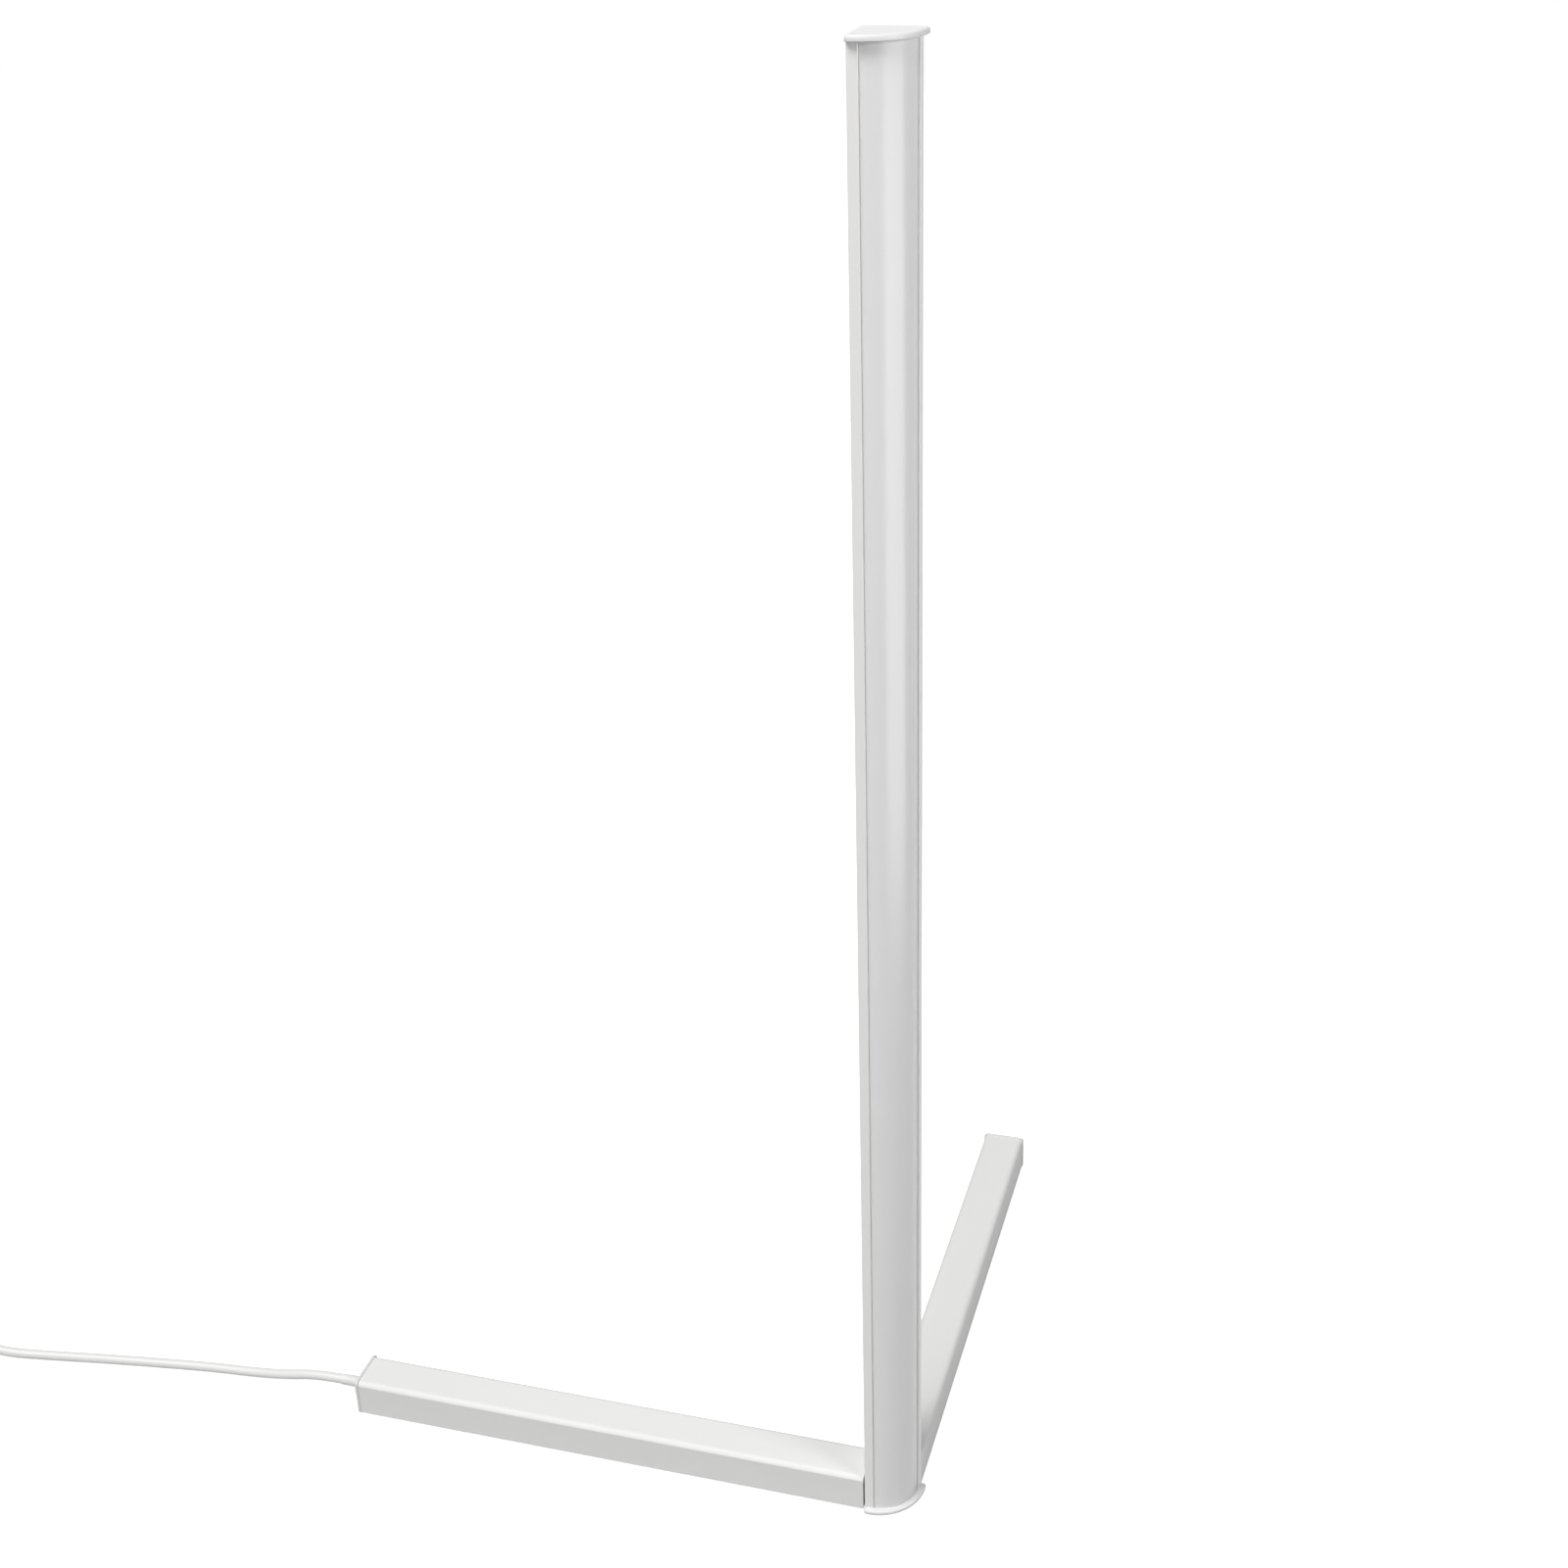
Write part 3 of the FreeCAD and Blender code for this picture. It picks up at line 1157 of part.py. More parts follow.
def driver_choke():
    """Ring-shaped choke near the mains end of the driver's board."""
    start, _ = driver_span()
    centre = (start + CHOKE_PLACE, -WING_MIDDLE + CHOKE_ACROSS, driver_board_top())
    ring = rod(centre, (0, 0, 1), CHOKE_RADIUS, CHOKE_HEIGHT)
    return ring.cut(rod(centre, (0, 0, 1), CHOKE_RADIUS * CHOKE_HOLE_SHARE, CHOKE_HEIGHT))


def driver_heatsink():
    """Upright cooling plate that starts against the transformer's core."""
    start = sum(driver_span()) / 2 + TRANSFORMER_LENGTH / 2
    y = -WING_MIDDLE + HEATSINK_ACROSS
    z = driver_board_top()
    return box((start, start + HEATSINK_LENGTH), (y, y + HEATSINK_THICKNESS),
               (z, z + HEATSINK_HEIGHT))


def driver_pad():
    """Foam pad that sticks the driver to the foot's floor."""
    start, end = driver_span()
    half = DRIVER_WIDTH / 2 - DRIVER_PAD_SIDE_INSET
    return box((start + DRIVER_PAD_END_INSET, end - DRIVER_PAD_END_INSET),
               (-WING_MIDDLE - half, -WING_MIDDLE + half),
               (FOOT_FLOOR, FOOT_FLOOR + DRIVER_PAD_THICKNESS))


def lug_place():
    """Return where the earth screw enters the left joint block."""
    return -BLOCK_LENGTH, -WING_MIDDLE + LUG_ACROSS, FOOT_BOTTOM + LUG_HEIGHT


def lug_tab_height():
    """Return the height of the upper face of the earth lug's tab."""
    return lug_place()[2] - LUG_EYE_RADIUS + LUG_THICKNESS


def earth_lug():
    """Bent ring lug that bonds the joint block to the lead's earth core."""
    x, y, z = lug_place()
    eye = rod((x, y, z), (-1, 0, 0), LUG_EYE_RADIUS, LUG_THICKNESS)
    half = LUG_TAB_WIDTH / 2
    top = lug_tab_height()
    neck = box((x - LUG_THICKNESS, x), (y - half, y + half), (top - LUG_THICKNESS, z))
    tab = box((x - LUG_TAB_LENGTH, x), (y - half, y + half), (top - LUG_THICKNESS, top))
    barrel = rod((x - LUG_TAB_LENGTH, y, top), (-1, 0, 0), CORE_RADIUS + LUG_THICKNESS,
                 LUG_BARREL_LENGTH)
    hole = rod((x, y, z), (-1, 0, 0), LUG_SCREW_RADIUS + SCREW_CLEARANCE, LUG_THICKNESS)
    return joined([eye, neck, tab, barrel]).cut(hole)


def earth_screw():
    """Screw that clamps the earth lug to the left joint block."""
    x, y, z = lug_place()
    return screw((x - LUG_THICKNESS - LUG_SCREW_HEAD_HEIGHT, y, z), (1, 0, 0), LUG_SCREW_RADIUS,
                 LUG_SCREW_LENGTH, LUG_SCREW_HEAD_RADIUS, LUG_SCREW_HEAD_HEIGHT)


def earth_wire():
    """Earth core from the terminals, over the driver, down to the lug."""
    _, start = terminal_span()
    y = terminal_places()[2]
    height = shelf_top() + TERMINAL_BORE_RISE
    over = driver_levels()[2] + CORE_RADIUS + EARTH_WIRE_RISE
    lug_x, lug_y, _ = lug_place()
    end = lug_x - LUG_TAB_LENGTH - LUG_BARREL_LENGTH
    level = lug_tab_height()
    points = (
        (start - CORE_INSERT, y, height),
        (start + EARTH_WIRE_LEAVE[0], y, height),
        (start + EARTH_WIRE_LEAVE[1], y - 1.0, over),
        (start + EARTH_WIRE_LEAVE[2], y - 2.5, over + 0.4),
        (end - EARTH_WIRE_REACH[0], y + 1.0, over),
        (end - EARTH_WIRE_REACH[1], lug_y, level),
        (end, lug_y, level),
    )
    return route_tube(points, CORE_RADIUS, "earth_wire")


# ---------------------------------------------------------------------- foot switch
def switch_block(x_half, y_half, corner, bottom, top):
    """Return an upright block with round corners about the middle of the switch."""
    block = box((SWITCH_X - x_half, SWITCH_X + x_half), (SWITCH_Y - y_half, SWITCH_Y + y_half),
                (bottom, top))
    corners = []
    for x in (SWITCH_X - x_half, SWITCH_X + x_half):
        for y in (SWITCH_Y - y_half, SWITCH_Y + y_half):
            corners += upright_edges(block, x, y)
    return block.makeFillet(corner, corners)


def switch_outer(bottom, top, rounded):
    """Return one solid half of the switch, its outer rim rounded at one height."""
    half = switch_block(SWITCH_LENGTH / 2, SWITCH_WIDTH / 2, SWITCH_CORNER, bottom, top)
    radius = SWITCH_EDGE_ROUND if rounded == top else SWITCH_BASE_ROUND
    return half.makeFillet(radius, edges_at_height(half, rounded))


def switch_collars():
    """Return the tapered collars where the lead enters and leaves the switch."""
    collars = []
    for side in (-1, 1):
        start = (SWITCH_X + side * (SWITCH_LENGTH / 2 - SWITCH_WALL), SWITCH_Y, SWITCH_LEAD_HEIGHT)
        collars.append(taper(start, (side, 0, 0), SWITCH_COLLAR_RADIUS, SWITCH_COLLAR_TIP_RADIUS,
                             SWITCH_COLLAR_LENGTH + SWITCH_WALL))
    return collars


def switch_lead_way():
    """Return the straight way of the lead through both collars."""
    length = SWITCH_ENTRY_X - SWITCH_EXIT_X
    return rod((SWITCH_EXIT_X, SWITCH_Y, SWITCH_LEAD_HEIGHT), (1, 0, 0), CORD_RADIUS + CORD_FIT,
               length)


def switch_screw_places():
    """Return the plan places of the switch's four screws."""
    return [(SWITCH_X + x, SWITCH_Y + y) for x in (-SWITCH_SCREW_X, SWITCH_SCREW_X)
            for y in (-SWITCH_SCREW_Y, SWITCH_SCREW_Y)]


def switch_screw_args(x, y):
    """Return the sizes shared by a switch screw and its hole."""
    return ((x, y, 0), (0, 0, 1), SWITCH_SCREW_RADIUS, SWITCH_SCREW_LENGTH,
            SWITCH_SCREW_HEAD_RADIUS, SWITCH_SCREW_HEAD_HEIGHT)


def switch_cavity(bottom, top):
    """Return the hollow of one half of the switch, less its screw bosses."""
    hollow = switch_block(SWITCH_LENGTH / 2 - SWITCH_WALL, SWITCH_WIDTH / 2 - SWITCH_WALL,
                          SWITCH_CORNER - SWITCH_WALL, bottom, top)
    bosses = [rod((x, y, bottom), (0, 0, 1), SWITCH_BOSS_RADIUS, top - bottom)
              for x, y in switch_screw_places()]
    return hollow.cut(bosses)


def switch_half(bottom, top, rounded, cavity):
    """Return one half of the housing with its half collars, hollow and screw holes."""
    keep = box((SWITCH_EXIT_X, SWITCH_ENTRY_X), (SWITCH_Y - SWITCH_WIDTH, SWITCH_Y + SWITCH_WIDTH),
               (bottom, top))
    collars = [collar.common(keep) for collar in switch_collars()]
    holes = [screw_hole(*switch_screw_args(x, y)) for x, y in switch_screw_places()]
    body = joined([switch_outer(bottom, top, rounded)] + collars)
    return body.cut([cavity, switch_lead_way()] + holes)


def switch_base():
    """Lower half of the foot switch."""
    return switch_half(0, SWITCH_SPLIT, 0, switch_cavity(SWITCH_WALL, SWITCH_SPLIT))


def switch_cover():
    """Upper half of the foot switch, with the round hole of its button."""
    cavity = switch_cavity(SWITCH_SPLIT, SWITCH_HEIGHT - SWITCH_WALL)
    cover = switch_half(SWITCH_SPLIT, SWITCH_HEIGHT, SWITCH_HEIGHT, cavity)
    hole = rod((SWITCH_X, SWITCH_Y, SWITCH_SPLIT), (0, 0, 1), BUTTON_RADIUS + BUTTON_CLEARANCE,
               SWITCH_HEIGHT)
    return cover.cut(hole)


def button_levels():
    """Return the heights of the button's flange underside, flange top and top."""
    flange_top = SWITCH_HEIGHT - SWITCH_WALL - BUTTON_STOP_GAP
    return flange_top - BUTTON_FLANGE_HEIGHT, flange_top, SWITCH_HEIGHT + BUTTON_PROUD


def switch_button():
    """Push button: a hollow cap with a flange that keeps it in the cover, and a stem."""
    bottom, flange_top, top = button_levels()
    centre = (SWITCH_X, SWITCH_Y, bottom)
    cap = rod(centre, (0, 0, 1), BUTTON_RADIUS, top - bottom)
    cap = cap.makeFillet(BUTTON_EDGE_ROUND, edges_at_height(cap, top))
    flange = rod(centre, (0, 0, 1), BUTTON_RADIUS + BUTTON_FLANGE, flange_top - bottom)
    hollow = rod(centre, (0, 0, 1), BUTTON_RADIUS - BUTTON_WALL, top - BUTTON_WALL - bottom)
    stem = rod(centre, (0, 0, 1), BUTTON_STEM_RADIUS, top - BUTTON_WALL - bottom)
    return joined([cap, flange]).cut(hollow).fuse(stem)


def switch_core():
    """Latching contact block on the floor of the switch."""
    top = button_levels()[0] - BUTTON_TRAVEL - CORE_STOP_GAP
    return box((SWITCH_X - CORE_LENGTH / 2, SWITCH_X + CORE_LENGTH / 2),
               (SWITCH_Y - CORE_WIDTH / 2, SWITCH_Y + CORE_WIDTH / 2), (SWITCH_WALL, top))


def switch_lead_reach():
    """Return how far from the switch's middle the lead's cut ends lie."""
    return SWITCH_LENGTH / 2 - SWITCH_LEAD_INSERT


def switch_lead_ends():
    """The two ends of the lead inside the switch."""
    length = SWITCH_ENTRY_X - SWITCH_X - switch_lead_reach()
    ends = []
    for side in (-1, 1):
        start = (SWITCH_X + side * switch_lead_reach(), SWITCH_Y, SWITCH_LEAD_HEIGHT)
        ends.append(rod(start, (side, 0, 0), CORD_RADIUS, length))
    return ends


def switch_wires():
    """Stripped cores between the lead's ends and the contact block."""
    length = switch_lead_reach() - CORE_LENGTH / 2
    wires = []
    for side in (-1, 1):
        for step in (-1, 0, 1):
            start = (SWITCH_X + side * CORE_LENGTH / 2, SWITCH_Y + step * SWITCH_WIRE_PITCH,
                     SWITCH_LEAD_HEIGHT)
            wires.append(rod(start, (side, 0, 0), CORE_RADIUS, length))
    return wires


def switch_screws():
    """Screws that hold the two halves of the switch together."""
    return [screw(*switch_screw_args(x, y)) for x, y in switch_screw_places()]


# ---------------------------------------------------------------- put-away coil, tie
def coil_radius(turns):
    """Return the spiral's radius after so many turns; it narrows, then widens again."""
    return COIL_MID_RADIUS + COIL_PITCH * abs(turns - COIL_TURNS_IN)


def coil_angle(turns):
    """Return the plan angle in radians after so many clockwise turns."""
    return math.radians(COIL_START_ANGLE - 360 * turns)


def coil_height(turns):
    """Return the wire's height; it climbs one layer in the half turn about the reversal."""
    past = turns - COIL_TURNS_IN
    if past <= -0.25:
        return COIL_LOW
    if past >= 0.25:
        return COIL_HIGH
    return (COIL_LOW + COIL_HIGH) / 2


def coil_point(turns):
    """Return a point of the coil's middle line."""
    angle = coil_angle(turns)
    radius = coil_radius(turns)
    return Vector(COIL_X + radius * math.cos(angle), COIL_Y + radius * math.sin(angle),
                  coil_height(turns))


def coil_heading(turns):
    """Return the direction of the coil's middle line; square to the radius at its ends."""
    angle = coil_angle(turns)
    past = turns - COIL_TURNS_IN
    at_end = turns <= 0 or turns >= COIL_TURNS_IN + COIL_TURNS_OUT or past == 0
    spread = 0 if at_end else math.copysign(COIL_PITCH, past)
    around = 2 * math.pi * coil_radius(turns)
    climb = 4 * (COIL_HIGH - COIL_LOW) if past == 0 else 0
    heading = Vector(math.cos(angle), math.sin(angle), 0) * spread
    heading += Vector(math.sin(angle), -math.cos(angle), 0) * around
    return (heading + Vector(0, 0, climb)).normalize()


def arc_from(start, heading, end):
    """Return the arc that leaves a point along a heading and ends at another point."""
    chord = end - start
    length = chord.Length
    chord.normalize()
    side = (heading - chord * heading.dot(chord)).normalize()
    bulge = length / 2 * math.tan(heading.getAngle(chord) / 2)
    return Part.Arc(start, (start + end) * 0.5 + side * bulge, end).toShape()


def two_arcs(start, heading, end, end_heading):
    """Return two arcs that join smoothly between two points with given headings."""
    gap = end - start
    both = heading + end_heading
    denominator = 2 * (1 - heading.dot(end_heading))
    along = gap.dot(both)
    reach = (-along + math.sqrt(along ** 2 + denominator * gap.dot(gap))) / denominator
    middle = (start + heading * reach + end - end_heading * reach) * 0.5
    middle_heading = ((end - end_heading * reach) - (start + heading * reach)).normalize()
    return [arc_from(start, heading, middle), arc_from(middle, middle_heading, end)]


def coil_path():
    """Return the coil's middle line: a straight end, quarter-turn arcs, a straight end."""
    steps = round((COIL_TURNS_IN + COIL_TURNS_OUT) * 4)
    turns = [index / 4 for index in range(steps + 1)]
    lead_in = Vector(*LINK_ROUTE[-1])
    lead_out = Vector(*TAIL_ROUTE[0])
    edges = [Part.LineSegment(lead_in, coil_point(0)).toShape()]
    for before, after in zip(turns, turns[1:]):
        edges += two_arcs(coil_point(before), coil_heading(before),
                          coil_point(after), coil_heading(after))
    edges.append(Part.LineSegment(coil_point(turns[-1]), lead_out).toShape())
    return Part.Wire(edges)


def least_gap(path, skip):
    """Return the least distance between two places of a path further apart than skip."""
    points = path.discretize(Distance=GAP_SAMPLE_STEP)
    spacing = path.Length / (len(points) - 1)
    apart = math.ceil(skip / spacing)
    least = path.Length
    for index, point in enumerate(points):
        for other in points[index + apart:]:
            least = min(least, point.distanceToPoint(other))
    return least


def lead_coil():
    """The put-away length of the lead, wound in two layers."""
    path = coil_path()
    coil = swept_tube(path, CORD_RADIUS)
    gap = least_gap(path, 2 * COIL_MID_RADIUS) - CORD_DIAMETER
    expected = math.pi * CORD_RADIUS ** 2 * path.Length
    print(f"lead_coil: length {path.Length:.1f}, least gap to itself {gap:.2f}")
    print(f"lead_coil: volume {coil.Volume:.0f}, section x length {expected:.0f}")
    return coil


def coil_tie():
    """Flat strap round the bundle of turns at one place of the coil."""
    first = (COIL_START_ANGLE - TIE_ANGLE) / 360 % 1
    count = math.ceil(COIL_TURNS_IN + COIL_TURNS_OUT - first)
    radii = [coil_radius(first + index) for index in range(count)]
    room = CORD_RADIUS + TIE_CLEARANCE
    inner_x = (min(radii) - room, max(radii) + room)
    inner_z = (COIL_LOW - room, COIL_HIGH + room)
    half = TIE_WIDTH / 2
    inner = box(inner_x, (-half, half), inner_z)
    outer = box((inner_x[0] - TIE_THICKNESS, inner_x[1] + TIE_THICKNESS), (-half, half),
                (inner_z[0] - TIE_THICKNESS, inner_z[1] + TIE_THICKNESS))
    ring = outer.cut(inner)
    ring = ring.rotated(Vector(0, 0, 0), UP, TIE_ANGLE)
    ring.translate(Vector(COIL_X, COIL_Y, 0))
    return ring


# ------------------------------------------------------------------------ mains plug
def plug_rod(start_y, radius, length, x_offset=0.0, z_offset=0.0):
    """Return a round bar along the plug's axis, or beside it."""
    start = (COIL_END_X + x_offset, start_y, PLUG_DISC_RADIUS + z_offset)
    return rod(start, (0, 1, 0), radius, length)


def plug_levels():
    """Return where the boot, the grip, the neck, the disc and the face begin along Y."""
    grip = PLUG_TAIL_Y + BOOT_LENGTH
    neck = grip + PLUG_GRIP_LENGTH
    disc = neck + PLUG_NECK_LENGTH
    return PLUG_TAIL_Y, grip, neck, disc, disc + PLUG_DISC_LENGTH


def plug_boot():
    """Tapered boot where the lead enters the plug."""
    tail, _, _, _, _ = plug_levels()
    return taper((COIL_END_X, tail, PLUG_DISC_RADIUS), (0, 1, 0), BOOT_TIP_RADIUS,
                 BOOT_ROOT_RADIUS, BOOT_LENGTH)


def plug_earth_slot(side, depth):
    """Return the notch on one side of the plug's rim, to a given depth."""
    _, _, _, disc, face = plug_levels()
    low = PLUG_DISC_RADIUS + side * (PLUG_DISC_RADIUS - depth)
    high = PLUG_DISC_RADIUS + side * (PLUG_DISC_RADIUS + PLUG_EARTH_DEPTH)
    half = PLUG_EARTH_WIDTH / 2
    return box((COIL_END_X - half, COIL_END_X + half), (disc + PLUG_EARTH_SETBACK, face), (low, high))


def plug_body():
    """Plug body: grip, flared neck and round face with its notches and holes."""
    _, grip, neck, disc, face = plug_levels()
    handle = plug_rod(grip, PLUG_GRIP_RADIUS, PLUG_GRIP_LENGTH)
    flare = taper((COIL_END_X, neck, PLUG_DISC_RADIUS), (0, 1, 0), PLUG_GRIP_RADIUS,
                  PLUG_DISC_RADIUS, PLUG_NECK_LENGTH)
    plate = plug_rod(disc, PLUG_DISC_RADIUS, PLUG_DISC_LENGTH)
    body = joined([handle, flare, plate])
    rims = [edge for edge in body.Edges
            if edge.BoundBox.YLength < 0.001
            and min(abs(edge.BoundBox.YMin - grip), abs(edge.BoundBox.YMin - face)) < 0.001]
    body = body.makeFillet(PLUG_EDGE_ROUND, rims)
    cuts = [plug_earth_slot(side, PLUG_EARTH_DEPTH) for side in (-1, 1)]
    for side in (-1, 1):
        cuts.append(plug_rod(face - PLUG_PIN_SEAT, PLUG_PIN_RADIUS + SCREW_CLEARANCE,
                             PLUG_PIN_SEAT, x_offset=side * PLUG_PIN_SPREAD))
    cuts.append(plug_rod(face - PLUG_EARTH_HOLE_DEPTH, PLUG_EARTH_HOLE_RADIUS,
                         PLUG_EARTH_HOLE_DEPTH, z_offset=PLUG_EARTH_HOLE_OFFSET))
    return body.cut(cuts)


def plug_pins():
    """The two round contact pins with rounded tips."""
    face = plug_levels()[4]
    pins = []
    for side in (-1, 1):
        pin = plug_rod(face - PLUG_PIN_SEAT, PLUG_PIN_RADIUS, PLUG_PIN_SEAT + PLUG_PIN_LENGTH,
                       x_offset=side * PLUG_PIN_SPREAD)
        tip = [edge for edge in pin.Edges
               if edge.BoundBox.YMin > face + PLUG_PIN_LENGTH - 0.001]
        pins.append(pin.makeFillet(PLUG_PIN_TIP_ROUND, tip))
    return pins


def plug_earth_clips():
    """The two flat earth contacts in the notches of the rim."""
    clips = []
    for side in (-1, 1):
        floor = plug_earth_slot(side, PLUG_EARTH_DEPTH)
        above = plug_earth_slot(side, PLUG_EARTH_DEPTH - PLUG_EARTH_THICKNESS)
        clips.append(floor.cut(above))
    return clips


def both_sides(shapes):
    """Return the left pieces and their mirror images on the right."""
    return shapes + [mirrored(shape) for shape in shapes]


def build_parts():
    """Write every piece of the lamp."""
    save("column_profile", column_profile())
    save("opal_cover", opal_cover())
    save("top_cap", top_cap())
    save("bottom_cap", bottom_cap())
    save("bottom_cap_screws", [screw(*bottom_cap_screw_args(x, y)) for x, y in column_ports()])

    lower, upper = board_bottoms()
    save("light_board_lower", light_board(lower))
    save("light_board_upper", light_board(upper))
    save("light_chips_lower", light_chips(lower))
    save("light_chips_upper", light_chips(upper))
    save("board_screws", board_screws())
    save("board_link", board_link())
    save("strip_socket", strip_socket())
    save("strip_cable", strip_cable())
    save("wing_grommet", wing_grommet())

    save("left_foot_profile", foot_profile())
    save("right_foot_profile", mirrored(foot_profile()))
    save("left_foot_block", left_foot_block())
    save("right_foot_block", mirrored(foot_block()))
    save("foot_bolts", both_sides(foot_bolts()))
    save("foot_washers", both_sides(foot_washers()))
    save("block_screws", both_sides([screw(*block_screw_args(y)) for y in block_screw_places()]))
    save("left_end_cap", left_end_cap())
    save("right_end_cap", right_end_cap())
    save("end_cap_screws", both_sides([screw(*end_cap_screw_args(y, z)) for y, z in FOOT_PORTS]))
    save("floor_pads", floor_pads())

    save("cord_sleeve", cord_sleeve())
    save("cord_inner_end", cord_inner_end())
    save("cord_clamp", cord_clamp())
    save("clamp_screws", clamp_screws())
    save("mains_cores", mains_cores())
    save("terminal_block", terminal_block())
    save("terminal_screws", terminal_screws())
    save("earth_wire", earth_wire())
    save("earth_lug", earth_lug())
    save("earth_screw", earth_screw())

    save("driver_base", driver_base())
    save("driver_cover", driver_cover())
    save("driver_board", driver_board())
    save("driver_transformer", driver_transformer())
    save("driver_capacitors", driver_capacitors())
    save("driver_choke", driver_choke())
    save("driver_heatsink", driver_heatsink())
    save("driver_input_wires", driver_input_wires())
    save("driver_pad", driver_pad())

    save("lead_to_switch", route_tube(LEAD_ROUTE, CORD_RADIUS, "lead_to_switch"))
    save("lead_to_coil", route_tube(LINK_ROUTE, CORD_RADIUS, "lead_to_coil"))
    save("lead_coil", lead_coil())
    save("lead_to_plug", route_tube(TAIL_ROUTE, CORD_RADIUS, "lead_to_plug"))
    save("coil_tie", coil_tie())
    save("switch_base", switch_base())
    save("switch_cover", switch_cover())
    save("switch_button", switch_button())
    save("switch_core", switch_core())
    save("switch_lead_ends", switch_lead_ends())
    save("switch_wires", switch_wires())
    save("switch_screws", switch_screws())
    save("plug_boot", plug_boot())
    save("plug_body", plug_body())
    save("plug_pins", plug_pins())
    save("plug_earth_clips", plug_earth_clips())


if __name__ == "__main__":
    os.makedirs("parts", exist_ok=True)
    build_parts()
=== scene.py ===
"""Corner floor lamp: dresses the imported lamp, lights it and sets the photograph's camera.

Sizes are in millimetres in the lamp's drawing frame, whose x = 0, y = 0 is the column's back
corner on the floor.  The function to_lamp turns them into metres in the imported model's frame.
"""
import json
import logging
import math
from dataclasses import dataclass
from enum import Enum
from functools import lru_cache
from typing import Any, Callable, Iterable, Mapping, Optional, Sequence, Union

import bmesh
import bpy
import numpy as np
from mathutils import Matrix, Vector
from mathutils.geometry import tessellate_polygon

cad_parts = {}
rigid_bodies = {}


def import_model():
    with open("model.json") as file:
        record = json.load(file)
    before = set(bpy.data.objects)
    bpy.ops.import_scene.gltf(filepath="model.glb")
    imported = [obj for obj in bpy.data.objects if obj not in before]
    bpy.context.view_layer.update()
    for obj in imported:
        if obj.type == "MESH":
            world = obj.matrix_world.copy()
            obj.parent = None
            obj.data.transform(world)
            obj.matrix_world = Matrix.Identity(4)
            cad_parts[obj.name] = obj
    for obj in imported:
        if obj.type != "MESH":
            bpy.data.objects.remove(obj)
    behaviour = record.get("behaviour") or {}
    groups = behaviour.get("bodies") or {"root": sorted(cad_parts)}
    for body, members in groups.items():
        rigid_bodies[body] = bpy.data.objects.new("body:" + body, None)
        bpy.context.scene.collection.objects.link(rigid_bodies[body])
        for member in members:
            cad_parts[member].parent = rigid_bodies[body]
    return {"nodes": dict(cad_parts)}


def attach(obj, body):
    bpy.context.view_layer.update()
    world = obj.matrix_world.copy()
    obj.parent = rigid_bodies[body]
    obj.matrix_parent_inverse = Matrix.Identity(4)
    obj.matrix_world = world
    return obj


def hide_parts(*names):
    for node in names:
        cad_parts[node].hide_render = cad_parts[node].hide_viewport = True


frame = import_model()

log = logging.getLogger("corner_lamp")

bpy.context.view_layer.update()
MILLIMETRE = 0.001
DRAWING_SHIFT = np.array([-13.0, 13.0, 0.0])
FULL_TURN = 2 * math.pi
QUARTER_TURN = math.pi / 2
UPWARDS = (0, 0, 1)
ALONG_Y = (0, 1, 0)
STRAIGHT = 1e-4  # a corner that turns less than this, in radians, isn't rounded
NEARLY_UPRIGHT = 0.9  # an axis that rises more than this is turned about with x at its side
SAME_POINT = 1e-3  # points of an outline nearer than this, in millimetres, are one
MERGED_POINT = 2e-6  # the same for a mesh, in metres
SLIVER = 1e-7  # edges shorter than this, in metres, are dissolved

# What puts the points of a section, drawn in a plane, in space at their levels.
Place = Callable[[np.ndarray, np.ndarray], np.ndarray]
Pairs = Sequence[tuple[float, float]]
Color = tuple[float, float, float]


# ------------------------------------------------------------------------ coordinates
def to_lamp(points: np.ndarray) -> np.ndarray:
    """Move drawing points in millimetres into the lamp's frame in metres.

    Args:
        points: Array whose last axis is x, y, z.

    Returns:
        The same points in metres, with the origin under the column's floor pad.
    """
    return (np.asarray(points, float) + DRAWING_SHIFT) * MILLIMETRE


def upright(across: np.ndarray, level: np.ndarray) -> np.ndarray:
    """Stand a section drawn in plan (x, y) at heights z = level."""
    return np.concatenate([across, level[..., None]], axis=-1)


def lengthwise(across: np.ndarray, level: np.ndarray) -> np.ndarray:
    """Carry a section drawn in (y, z) along x = level."""
    return np.concatenate([level[..., None], across], axis=-1)


def mirrored(place: Place) -> Place:
    """Return a placing function followed by the swap of the lamp's left and right sides.

    Args:
        place: The placing function of the left side.

    Returns:
        A function that sends (x, y, z) of that side to (-y, -x, z).
    """
    def swapped(across: np.ndarray, level: np.ndarray) -> np.ndarray:
        """Place the section, then swap the sides."""
        points = place(across, level)
        return np.stack([-points[..., 1], -points[..., 0], points[..., 2]], axis=-1)
    return swapped


# --------------------------------------------------------------------------- outlines
@dataclass(frozen=True)
class Corner:
    """A corner of a closed line, rounded by a radius."""
    x: float
    y: float
    radius: float = 0.15
    steps: int = 4


@dataclass(frozen=True)
class Bend:
    """An arc of a closed line about a centre, between two angles in degrees."""
    x: float
    y: float
    radius: float
    start: float
    end: float
    steps: int = 16

    def line(self) -> np.ndarray:
        """Return the arc's points: centre + radius * (cos a, sin a)."""
        angles = np.radians(np.linspace(self.start, self.end, self.steps + 1))
        return np.stack([self.x + self.radius * np.cos(angles),
                         self.y + self.radius * np.sin(angles)], axis=-1)


